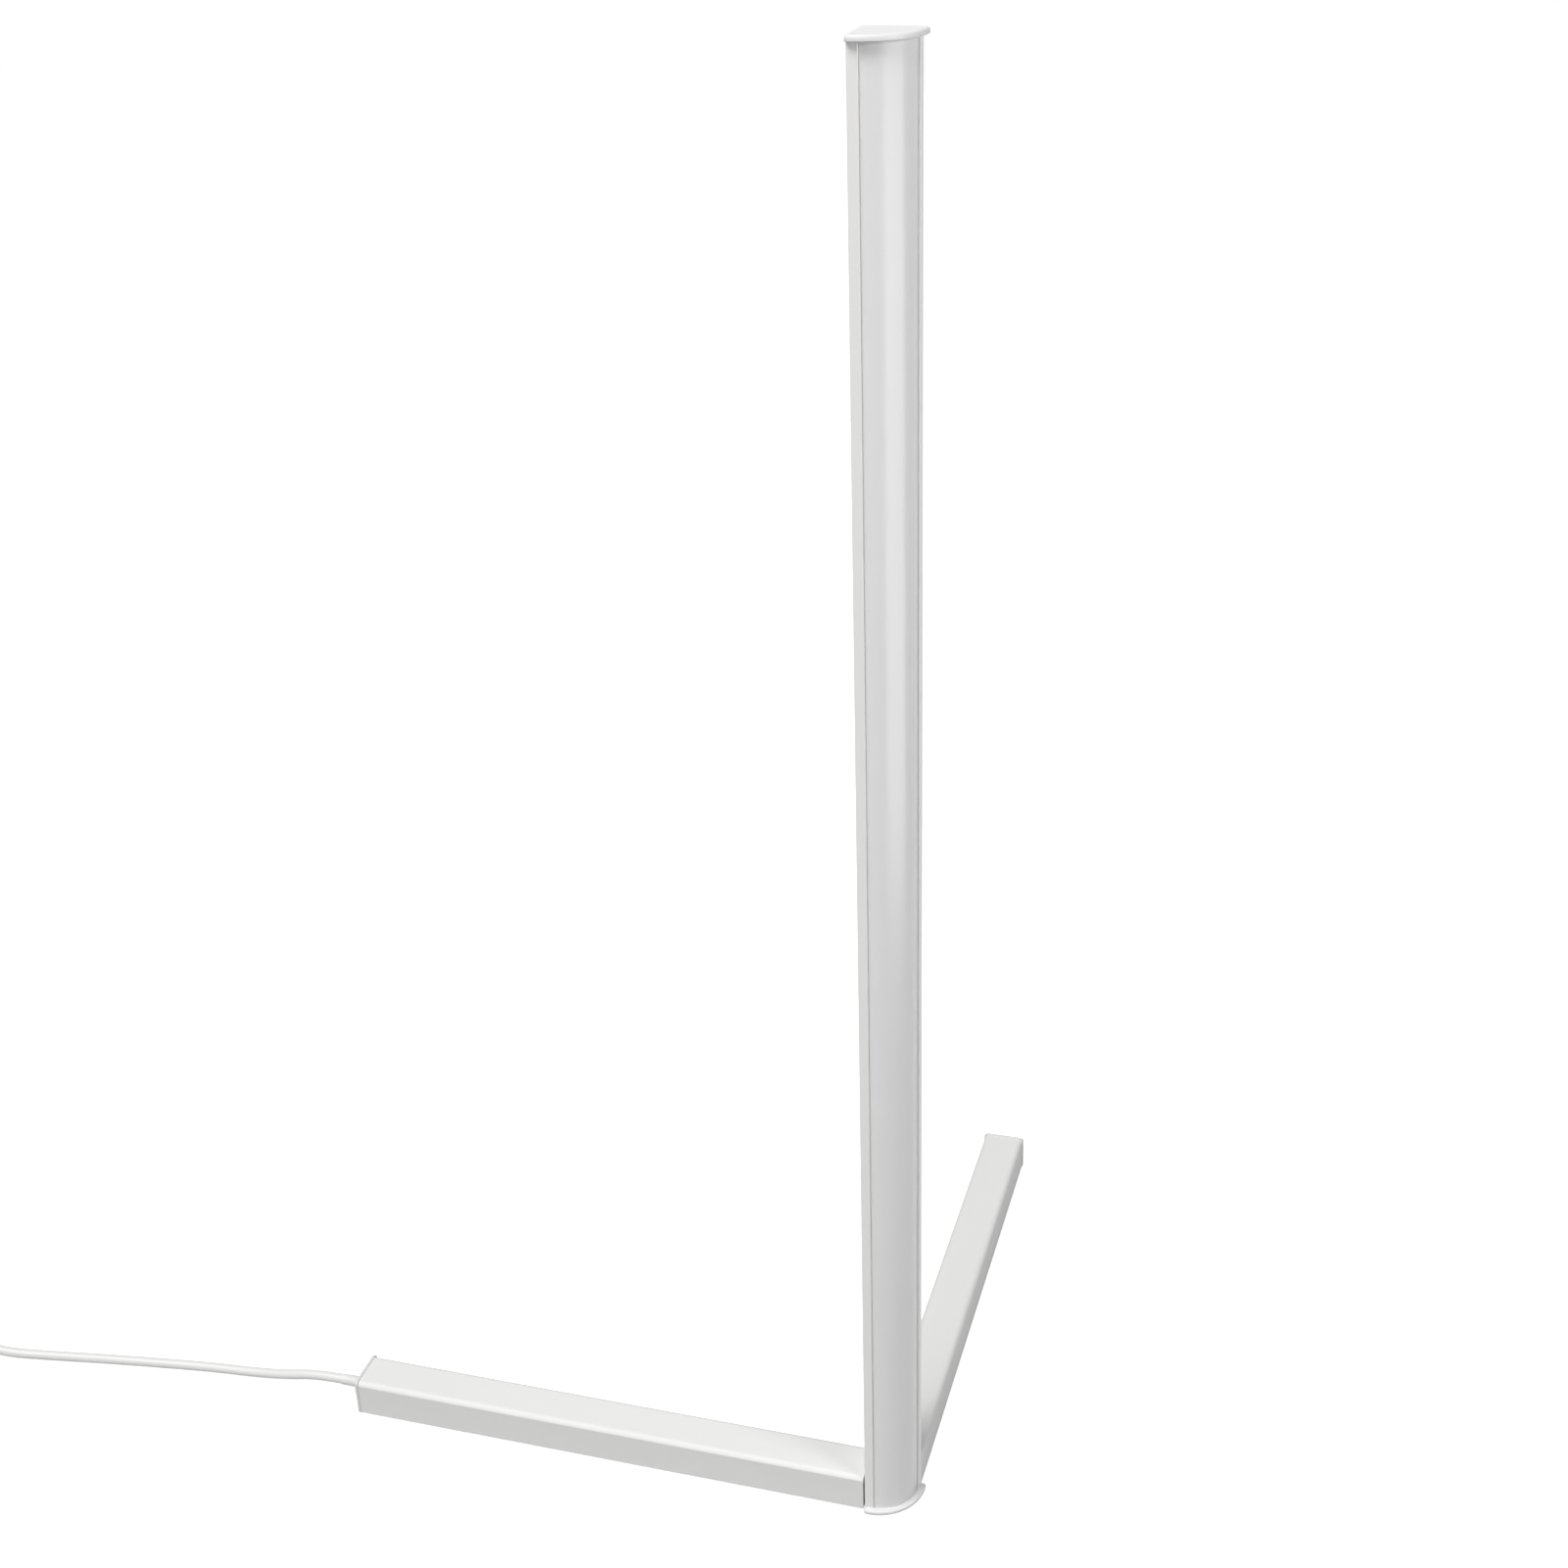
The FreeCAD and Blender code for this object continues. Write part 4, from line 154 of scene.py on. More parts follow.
def rounded_corner(before: np.ndarray, corner: Corner, after: np.ndarray) -> np.ndarray:
    """Return the arc that rounds a corner between its neighbours.

    With half angle h at the corner, the arc starts radius / tan h along each side, and its
    centre lies radius / sin h along the bisector.  Its points turn evenly from one to the
    other: (sin((1 - s) w) u + sin(s w) v) / sin w, for the end directions u, v at angle w.

    Args:
        before: The point that the line comes from.
        corner: The corner to round.
        after: The point that the line goes to.

    Returns:
        The arc's points in order.
    """
    here = np.array([corner.x, corner.y])
    back = (before - here) / np.linalg.norm(before - here)
    ahead = (after - here) / np.linalg.norm(after - here)
    half = math.acos(float(np.clip(back @ ahead, -1, 1))) / 2
    turn = math.pi - 2 * half
    if turn < STRAIGHT:
        return here[None]
    reach = corner.radius / math.tan(half)
    bisector = (back + ahead) / np.linalg.norm(back + ahead)
    centre = here + bisector * corner.radius / math.sin(half)
    first = here + back * reach - centre
    last = here + ahead * reach - centre
    share = np.linspace(0, 1, corner.steps + 1)[:, None]
    swept = np.sin((1 - share) * turn) * first + np.sin(share * turn) * last
    return centre + swept / math.sin(turn)


Item = Union[Corner, Bend]


def closed_line(items: Sequence[Item]) -> np.ndarray:
    """Return the points of a closed line given as corners and arcs in order.

    Args:
        items: Corners and arcs; straight runs join them.

    Returns:
        Array of (x, y) points, without a repeated end.
    """
    lines = [item.line() if isinstance(item, Bend) else np.array([[item.x, item.y]])
             for item in items]
    parts = []
    for index, item in enumerate(items):
        if isinstance(item, Bend):
            parts.append(lines[index])
        else:
            after = lines[(index + 1) % len(items)][0]
            parts.append(rounded_corner(lines[index - 1][-1], item, after))
    line = np.concatenate(parts)
    apart = np.linalg.norm(line - np.roll(line, 1, axis=0), axis=1) > SAME_POINT
    return line[apart]


def outward_of(line: np.ndarray) -> np.ndarray:
    """Return the outward direction at each point of a closed line, whichever way it runs.

    It is the mean of the two neighbouring sides' normals, stretched so that moving every
    point by it moves each side by one.

    Args:
        line: Points of the closed line.

    Returns:
        Array of (x, y) directions.
    """
    side = np.roll(line, -1, axis=0) - line
    side /= np.linalg.norm(side, axis=1, keepdims=True)
    normal = np.stack([side[:, 1], -side[:, 0]], axis=-1)
    area = np.sum(line[:, 0] * np.roll(line[:, 1], -1) - line[:, 1] * np.roll(line[:, 0], -1))
    normal *= np.sign(area)
    mean = normal + np.roll(normal, 1, axis=0)
    return 2 * mean / np.sum(mean * mean, axis=1, keepdims=True)


def rectangle(low: Sequence[float], high: Sequence[float], top: float, bottom: float,
              steps: int = 8) -> np.ndarray:
    """Return a rectangle's line with separate radii for its upper and lower corners.

    Args:
        low: Its lowest corner.
        high: Its highest corner.
        top: Radius of the two upper corners.
        bottom: Radius of the two lower corners.
        steps: Runs in each rounded corner.

    Returns:
        Its points, anticlockwise.
    """
    (left, foot), (right, head) = low, high
    return closed_line([Corner(left, foot, bottom, steps), Corner(right, foot, bottom, steps),
                        Corner(right, head, top, steps), Corner(left, head, top, steps)])


def circle(x: float, y: float, radius: float, steps: int) -> np.ndarray:
    """Return a circle's points: centre + radius * (cos a, sin a)."""
    angles = np.linspace(0, FULL_TURN, steps, endpoint=False)
    return np.stack([x + radius * np.cos(angles), y + radius * np.sin(angles)], axis=-1)


# ------------------------------------------------------------------------ mesh drafts
def placed(name: str, data: bpy.types.ID) -> bpy.types.Object:
    """Put data into the scene as a new object.

    Args:
        name: The object's name.
        data: Its mesh, curve, lamp or lens.

    Returns:
        The object.
    """
    made = bpy.data.objects.new(name, data)
    bpy.context.scene.collection.objects.link(made)
    return made


class Draft:
    """Collects surfaces in millimetres and makes them one piece of the lamp."""

    def __init__(self) -> None:
        """Start with nothing drawn."""
        self._points: list[np.ndarray] = []
        self._faces: list[list[int]] = []
        self._count = 0

    def _add(self, points: np.ndarray, faces: Iterable[Sequence[int]]) -> None:
        """Add points and the faces between them.

        Args:
            points: Array whose last axis is x, y, z.
            faces: Numbers of each face's points, counted from the first of these.
        """
        self._faces.extend([[corner + self._count for corner in face] for face in faces])
        self._points.append(points.reshape(-1, 3))
        self._count += self._points[-1].shape[0]

    def grid(self, points: np.ndarray) -> "Draft":
        """Add a tube; quad (i, j) joins rows i, i + 1 and columns j, j + 1, the last to the first.

        Args:
            points: Array of rows, columns, xyz.

        Returns:
            This draft.
        """
        rows, columns = points.shape[:2]
        index = np.arange(rows * columns).reshape(rows, columns)
        beside = np.roll(index, -1, axis=1)
        quads = np.stack([index[:-1], beside[:-1], beside[1:], index[1:]], axis=-1)
        self._add(points, quads.reshape(-1, 4).tolist())
        return self

    def lid(self, rim: np.ndarray, flat: np.ndarray, holes: Sequence[tuple] = ()) -> "Draft":
        """Close a flat end, leaving its holes open.

        Args:
            rim: The rim's points in space.
            flat: The same rim in its own plane.
            holes: Pairs of points in space and in the plane, one pair for each hole.

        Returns:
            This draft.
        """
        if not holes:
            self._add(rim, [range(len(rim))])
            return self
        loops = [flat] + [pair[1] for pair in holes]
        loops = [[Vector((x, y, 0)) for x, y in loop] for loop in loops]
        points = np.concatenate([rim] + [pair[0] for pair in holes])
        self._add(points, tessellate_polygon(loops))
        return self

    def bar(self, line: np.ndarray, levels: Pairs, place: Place,
            holes: Sequence[np.ndarray] = ()) -> "Draft":
        """Carry a closed section along a straight path and close both ends.

        Ring k of the surface is line - inset_k * outward, at level_k along the path.

        Args:
            line: The section's outline.
            levels: Pairs of level along the path and inset of the outline there.
            place: Function that puts a section at its level in space.
            holes: Outlines of holes that run through from end to end.

        Returns:
            This draft.
        """
        stations = np.array([pair[0] for pair in levels], float)
        insets = np.array([pair[1] for pair in levels], float)
        flat = line[None] - insets[:, None, None] * outward_of(line)[None]
        height = np.broadcast_to(stations[:, None], flat.shape[:2])
        rings = place(flat, height)
        self.grid(rings)
        bores = []
        for hole in holes:
            both = np.stack([hole, hole])
            span = np.stack([np.full(len(hole), stations[0]), np.full(len(hole), stations[-1])])
            bores.append((place(both, span), hole))
            self.grid(bores[-1][0])
        self.lid(rings[0], flat[0], [(bore[0], hole) for bore, hole in bores])
        self.lid(rings[-1], flat[-1], [(bore[1], hole) for bore, hole in bores])
        return self

    def turned(self, profile: Pairs, start: Sequence[float], axis: Sequence[float],
               steps: int = 48) -> "Draft":
        """Turn a profile about an axis: start + along * axis + radius * (cos a, sin a) across it.

        Args:
            profile: Pairs of distance along the axis and radius.
            start: Where the distance is zero.
            axis: Unit direction of the axis.
            steps: Columns round the axis.

        Returns:
            This draft.
        """
        along = np.array([pair[0] for pair in profile], float)
        radius = np.array([pair[1] for pair in profile], float)
        axis = np.array(axis, float)
        other_way = [0.0, 0.0, 1.0] if abs(axis[2]) < NEARLY_UPRIGHT else [1.0, 0.0, 0.0]
        side = np.cross(axis, other_way)
        side /= np.linalg.norm(side)
        other = np.cross(axis, side)
        angles = np.linspace(0, FULL_TURN, steps, endpoint=False)
        round_it = np.cos(angles)[:, None] * side + np.sin(angles)[:, None] * other
        rings = (np.array(start, float) + along[:, None, None] * axis
                 + radius[:, None, None] * round_it[None])
        return self.grid(rings)

    def piece(self, name: str, finish: "Finish", slot: str, nodes: Sequence[str] = (),
              body: str = "lamp", cutters: Optional["Draft"] = None,
              soft_angle: float = 32.0) -> bpy.types.Object:
        """Make the draft a piece of the lamp.

        Args:
            name: The piece's name.
            finish: What it is finished with.
            slot: The record's material slot; not used.
            nodes: The CAD nodes that it stands for.
            body: The body that it rides on.
            cutters: Another draft whose closed shapes are cut out of it.
            soft_angle: Faces that meet at less than this many degrees are shaded as one.

        Returns:
            The finished object.
        """
        made = self._object(name)
        if cutters is not None:
            cut_out(made, cutters._object(name + "_cutter"))
        made.data.shade_smooth()
        made.data.set_sharp_from_angle(angle=math.radians(soft_angle))
        evened = made.modifiers.new("even_normals", "WEIGHTED_NORMAL")
        evened.keep_sharp = True
        return dress(made, finish, nodes, body)

    def _object(self, name: str) -> bpy.types.Object:
        """Put the points and faces into a mesh, join doubles and point the faces outwards.

        Args:
            name: The object's name.

        Returns:
            The object.
        """
        mesh = bpy.data.meshes.new(name)
        mesh.from_pydata(to_lamp(np.concatenate(self._points)), [], self._faces)
        build = bmesh.new()
        build.from_mesh(mesh)
        bmesh.ops.remove_doubles(build, verts=build.verts, dist=MERGED_POINT)
        bmesh.ops.dissolve_degenerate(build, edges=build.edges, dist=SLIVER)
        bmesh.ops.recalc_face_normals(build, faces=build.faces)
        build.to_mesh(mesh)
        build.free()
        return placed(name, mesh)


def cut_out(made: bpy.types.Object, tool: bpy.types.Object) -> None:
    """Cut a closed tool out of an object and delete the tool.

    Args:
        made: The object, whose mesh is replaced.
        tool: The tool.
    """
    cut = made.modifiers.new("cut", "BOOLEAN")
    cut.operation = "DIFFERENCE"
    cut.solver = "EXACT"
    cut.object = tool
    bpy.context.view_layer.update()
    depsgraph = bpy.context.evaluated_depsgraph_get()
    mesh = bpy.data.meshes.new_from_object(made.evaluated_get(depsgraph))
    made.modifiers.clear()
    made.data = mesh
    bpy.data.objects.remove(tool)


def rounded_ends(low: float, high: float, low_radius: float, high_radius: float, steps: int,
                 stretch: float = 1.0) -> list[tuple[float, float]]:
    """Return levels and insets of a bar whose two rims are quarter-round.

    At angle a from the end, the inset is radius * (1 - sin a) and the level lies
    radius * (1 - cos a) from the end, times the stretch at the last rim.

    Args:
        low: First level.
        high: Last level.
        low_radius: Radius of the first rim.
        high_radius: Radius of the last rim.
        steps: Runs in each rounded rim.
        stretch: How much taller than wide the last rim's round is.

    Returns:
        Pairs of level and inset.
    """
    angles = np.linspace(0, QUARTER_TURN, steps + 1)
    start = [(low + low_radius * (1 - math.cos(a)), low_radius * (1 - math.sin(a)))
             for a in angles]
    end = [(high - high_radius * stretch * (1 - math.cos(a)), high_radius * (1 - math.sin(a)))
           for a in angles[::-1]]
    return start + end


def coat(made: bpy.types.Object, finish: "Finish") -> None:
    """Give an object one material in place of those that it has."""
    made.data.materials.clear()
    made.data.materials.append(finish.material())


def dress(made: bpy.types.Object, finish: "Finish", nodes: Sequence[str],
          body: str) -> bpy.types.Object:
    """Give a piece its finish and body, and hide the CAD nodes that it stands for.
        body: The body that it rides on.

    Returns:
        The same object.
    """
    coat(made, finish)
    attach(made, body)
    if nodes:
        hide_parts(*nodes)
    log.info("%s stands for %s", made.name, ", ".join(nodes) or "a detail")
    return made


# ------------------------------------------------------------------------ shader maths
def maths(operation: str, swapped: bool = False) -> Callable[..., "Value"]:
    """Return an operator of Value that adds one Math node.

    Args:
        operation: The node's operation.
        swapped: Whether the other operand comes first, as in 1 - value.

    Returns:
        The operator.
    """
    def apply(self: "Value", *others: Union["Value", float]) -> "Value":
        """Add the node and return its result."""
        operands = (*others, self) if swapped else (self, *others)
        return self.tree.node("ShaderNodeMath", dict(enumerate(operands)), operation=operation)
    return apply


class Value:
    """One output socket, with operators that add Math nodes."""

    def __init__(self, tree: "Shader", socket: bpy.types.NodeSocket) -> None:
        """Wrap an output socket of a shader."""
        self.tree = tree
        self.socket = socket

    __add__ = __radd__ = maths("ADD")
    __mul__ = __rmul__ = maths("MULTIPLY")
    __sub__, __rsub__ = maths("SUBTRACT"), maths("SUBTRACT", swapped=True)
    __truediv__, __rtruediv__ = maths("DIVIDE"), maths("DIVIDE", swapped=True)
    above = maths("GREATER_THAN")  # 1 where the value is more than the other, else 0
    wrapped = maths("FRACT")  # the value's fraction


class Shader:
    """The node tree of a material or of the world."""

    def __init__(self, owner: Union[bpy.types.Material, bpy.types.World]) -> None:
        """Clear the owner's tree and start anew."""
        owner.use_nodes = True
        self.tree = owner.node_tree
        self.tree.nodes.clear()

    def node(self, kind: str, inputs: Mapping[Union[str, int], Any], output: Union[str, int] = 0,
             stops: Sequence[tuple] = (), **settings: Any) -> Value:
        """Add one node.

        Args:
            kind: The node's type.
            inputs: Values or links by socket name or number.
            output: The output to return.
            stops: A ramp's places and colours.
            settings: The node's own settings, set first.

        Returns:
            The chosen output.
        """
        made = self.tree.nodes.new(kind)
        for key, setting in settings.items():
            setattr(made, key, setting)
        if stops:
            ramp = made.color_ramp.elements
            while len(ramp) < len(stops):
                ramp.new(1.0)
            for element, (place, color) in zip(ramp, stops):
                element.position = place
                element.color = (*color, 1.0)
        for key, given in inputs.items():
            socket = made.inputs[key]
            if isinstance(given, Value):
                self.tree.links.new(given.socket, socket)
            else:
                wants_four = socket.type == "RGBA" and not isinstance(given, (int, float))
                socket.default_value = (*given, 1.0) if wants_four and len(given) == 3 else given
        return Value(self, made.outputs[output])

    def place(self, scale: Sequence[float] = (1, 1, 1)) -> Value:
        """Return the object's own coordinates, stretched."""
        spot = self.node("ShaderNodeTexCoord", {}, "Object")
        return self.node("ShaderNodeMapping", {"Vector": spot, "Scale": scale})

    def noise(self, scale: float, detail: float = 2.0,
              stretch: Sequence[float] = (1, 1, 1)) -> Value:
        """Return smooth noise from 0 to 1 with so many waves a metre."""
        return self.node("ShaderNodeTexNoise", {"Vector": self.place(stretch), "Scale": scale,
                                                "Detail": detail, "Roughness": 0.55}, "Fac")

    def mix(self, share: Union[Value, float], first: Any, second: Any) -> Value:
        """Return a colour between two."""
        return self.node("ShaderNodeMix", {0: share, 6: first, 7: second}, 2, data_type="RGBA")

    def bump(self, height: Value, depth: float, under: Optional[Value] = None) -> Value:
        """Return the normal of a surface with relief.

        Args:
            height: The relief, from 0 to 1.
            depth: How deep it is, in metres.
            under: The normal that it lies on.

        Returns:
            The normal.
        """
        inputs: dict[str, Any] = {"Height": height, "Distance": depth, "Strength": 1.0}
        if under is not None:
            inputs["Normal"] = under
        return self.node("ShaderNodeBump", inputs, "Normal")

    def output(self, surface: Value, kind: str = "ShaderNodeOutputMaterial") -> None:
        """End the tree in a surface."""
        end = self.tree.nodes.new(kind)
        self.tree.links.new(surface.socket, end.inputs["Surface"])

    def shown(self) -> Value:
        """Return 1 for the rays by which the eye sees a thing, straight, mirrored or through."""
        camera, mirror, through = (self.node("ShaderNodeLightPath", {}, ray) for ray in (
            "Is Camera Ray", "Is Glossy Ray", "Is Transmission Ray"))
        return camera + mirror + through


class Streak(Enum):
    """The way along which a finish is drawn out, as the stretch of its pattern."""
    NONE = (1.0, 1.0, 1.0)
    ALONG_X = (0.02, 1.0, 1.0)
    ALONG_Y = (1.0, 0.02, 1.0)
    ALONG_Z = (1.0, 1.0, 0.02)


def shaded(color: Color, factor: float) -> Color:
    """Return a colour times a factor."""
    return tuple(min(1.0, channel * factor) for channel in color)


@dataclass(frozen=True)
class Finish:
    """A surface with mottled colour, uneven gloss and a fine grain."""
    name: str
    color: Color
    roughness: float = 0.45
    gloss_spread: float = 0.08
    metallic: float = 0.0
    mottle: float = 0.02
    mottle_scale: float = 9.0
    grain_scale: float = 900.0
    grain_depth: float = 0.00002
    streak: Streak = Streak.NONE
    streak_depth: float = 0.0
    reflectance: float = 0.5
    grains_per_cloud: float = 12.0
    grains_per_streak: float = 3.0

    def tint(self, shader: Shader) -> Value:
        """Return the colour over the surface: lighter and darker in soft patches."""
        patches = shader.noise(self.mottle_scale, 3.0, self.streak.value)
        return shader.mix(patches, shaded(self.color, 1 - self.mottle),
                          shaded(self.color, 1 + self.mottle))

    def gloss(self, shader: Shader) -> Value:
        """Return the roughness over the surface."""
        cloud = shader.noise(self.grain_scale / self.grains_per_cloud, 2.0, self.streak.value)
        return cloud * self.gloss_spread + (self.roughness - self.gloss_spread / 2)

    def relief(self, shader: Shader) -> Value:
        """Return the surface's normal: a fine grain over drawn-out streaks.

        Args:
            shader: The tree to add the nodes to.

        Returns:
            The normal.
        """
        under = None
        if self.streak_depth:
            streaks = shader.noise(self.grain_scale / self.grains_per_streak, 2.0,
                                   self.streak.value)
            under = shader.bump(streaks, self.streak_depth)
        return shader.bump(shader.noise(self.grain_scale, 2.0), self.grain_depth, under)

    def fixed(self) -> dict[str, Any]:
        """Return the shader's values that are the same all over the surface."""
        return {"Metallic": self.metallic, "Specular IOR Level": self.reflectance}

    @lru_cache(maxsize=None)
    def material(self) -> bpy.types.Material:
        """Return the finish's material, made once."""
        material = bpy.data.materials.new(self.name)
        shader = Shader(material)
        inputs = {"Base Color": self.tint(shader), "Roughness": self.gloss(shader),
                  "Normal": self.relief(shader), **self.fixed()}
        shader.output(shader.node("ShaderNodeBsdfPrincipled", inputs, "BSDF"))
        return material


@dataclass(frozen=True)
class PowderCoat(Finish):
    """Satin powder coat: fine orange peel, and tiny denser flecks in its colour."""
    fleck_scale: float = 1400.0
    fleck_from: float = 0.72
    fleck_strength: float = 0.25
    fleck_shade: float = 0.965
    peel_scale: float = 330.0
    peel_depth: float = 1.6

    def tint(self, shader: Shader) -> Value:
        """Return soft patches with faint flecks."""
        flecks = shader.noise(self.fleck_scale, 1.0).above(self.fleck_from) * self.fleck_strength
        return shader.mix(flecks, super().tint(shader), shaded(self.color, self.fleck_shade))

    def relief(self, shader: Shader) -> Value:
        """Return orange peel in two sizes over the extrusion's faint draw lines."""
        under = super().relief(shader)
        return shader.bump(shader.noise(self.peel_scale, 1.0), self.grain_depth * self.peel_depth,
                           under)


@dataclass(frozen=True)
class OpalAcrylic(Finish):
    """Opal cover: smooth, with soft flow lines along the extrusion and a little depth."""
    spread: float = 0.33
    spread_reach: float = 0.007

    def fixed(self) -> dict[str, Any]:
        """Return the constant values, with light that spreads a little under the skin."""
        return {**super().fixed(), "Subsurface Weight": self.spread,
                "Subsurface Radius": (self.spread_reach,) * 3, "Subsurface Scale": 1.0}


@dataclass(frozen=True)
class BandedFinish(Finish):
    """Colours in bands along one axis, as on cores and on an earth wire."""
    bands: tuple[Color, ...] = ()
    axis: int = 0
    pitch: float = 0.01
    start: float = 0.0
    wear_scale: float = 20.0
    wear: float = 0.15
    wear_shade: float = 0.8

    def tint(self, shader: Shader) -> Value:
        """Return the band's colour at a place along the axis, repeated every pitch.

        Args:
            shader: The tree to add the nodes to.

        Returns:
            The colour.
        """
        spot = shader.node("ShaderNodeTexCoord", {}, "Object")
        along = shader.node("ShaderNodeSeparateXYZ", {0: spot}, self.axis)
        share = ((along - self.start) / self.pitch).wrapped()
        stops = [(index / len(self.bands), color) for index, color in enumerate(self.bands)]
        ramp = shader.node("ShaderNodeValToRGB", {"Fac": share}, "Color", stops=stops)
        ramp.socket.node.color_ramp.interpolation = "CONSTANT"
        worn = shader.noise(self.mottle_scale * self.wear_scale) * self.wear
        return shader.mix(worn, ramp, shaded(self.bands[0], self.wear_shade))


@dataclass(frozen=True)
class CircuitMask(Finish):
    """Solder mask over copper tracks, which show as a lighter brick pattern."""
    track: Color = (0.2, 0.45, 0.25)
    track_scale: float = 90.0
    track_width: float = 0.012
    patch_shade: float = 0.9
    veil: float = 0.35

    def tint(self, shader: Shader) -> Value:
        """Return the mask with its tracks."""
        tracks = shader.node("ShaderNodeTexBrick", {
            "Vector": shader.place(), "Color1": self.color, "Mortar": self.track,
            "Color2": shaded(self.color, self.patch_shade), "Scale": self.track_scale,
            "Mortar Size": self.track_width}, "Color")
        return shader.mix(self.veil, tracks, super().tint(shader))


@dataclass(frozen=True)
class CellFinish(Finish):
    """Foamed, cast or speckled stuff: cells that show in its relief."""
    cell_scale: float = 700.0
    cell_depth: float = 4.0

    def relief(self, shader: Shader) -> Value:
        """Return small round pits over the grain."""
        cells = shader.node("ShaderNodeTexVoronoi",
                            {"Vector": shader.place(), "Scale": self.cell_scale}, "Distance")
        return shader.bump(cells, self.grain_depth * self.cell_depth, super().relief(shader))


BLUE_CORE = (0.05, 0.14, 0.42)
BROWN_CORE = (0.18, 0.08, 0.035)
GREEN_CORE = (0.16, 0.36, 0.07)
YELLOW_CORE = (0.72, 0.60, 0.05)
BLACK_TAPE = (0.035, 0.035, 0.04)
DARK_SLEEVE = (0.02, 0.03, 0.07)


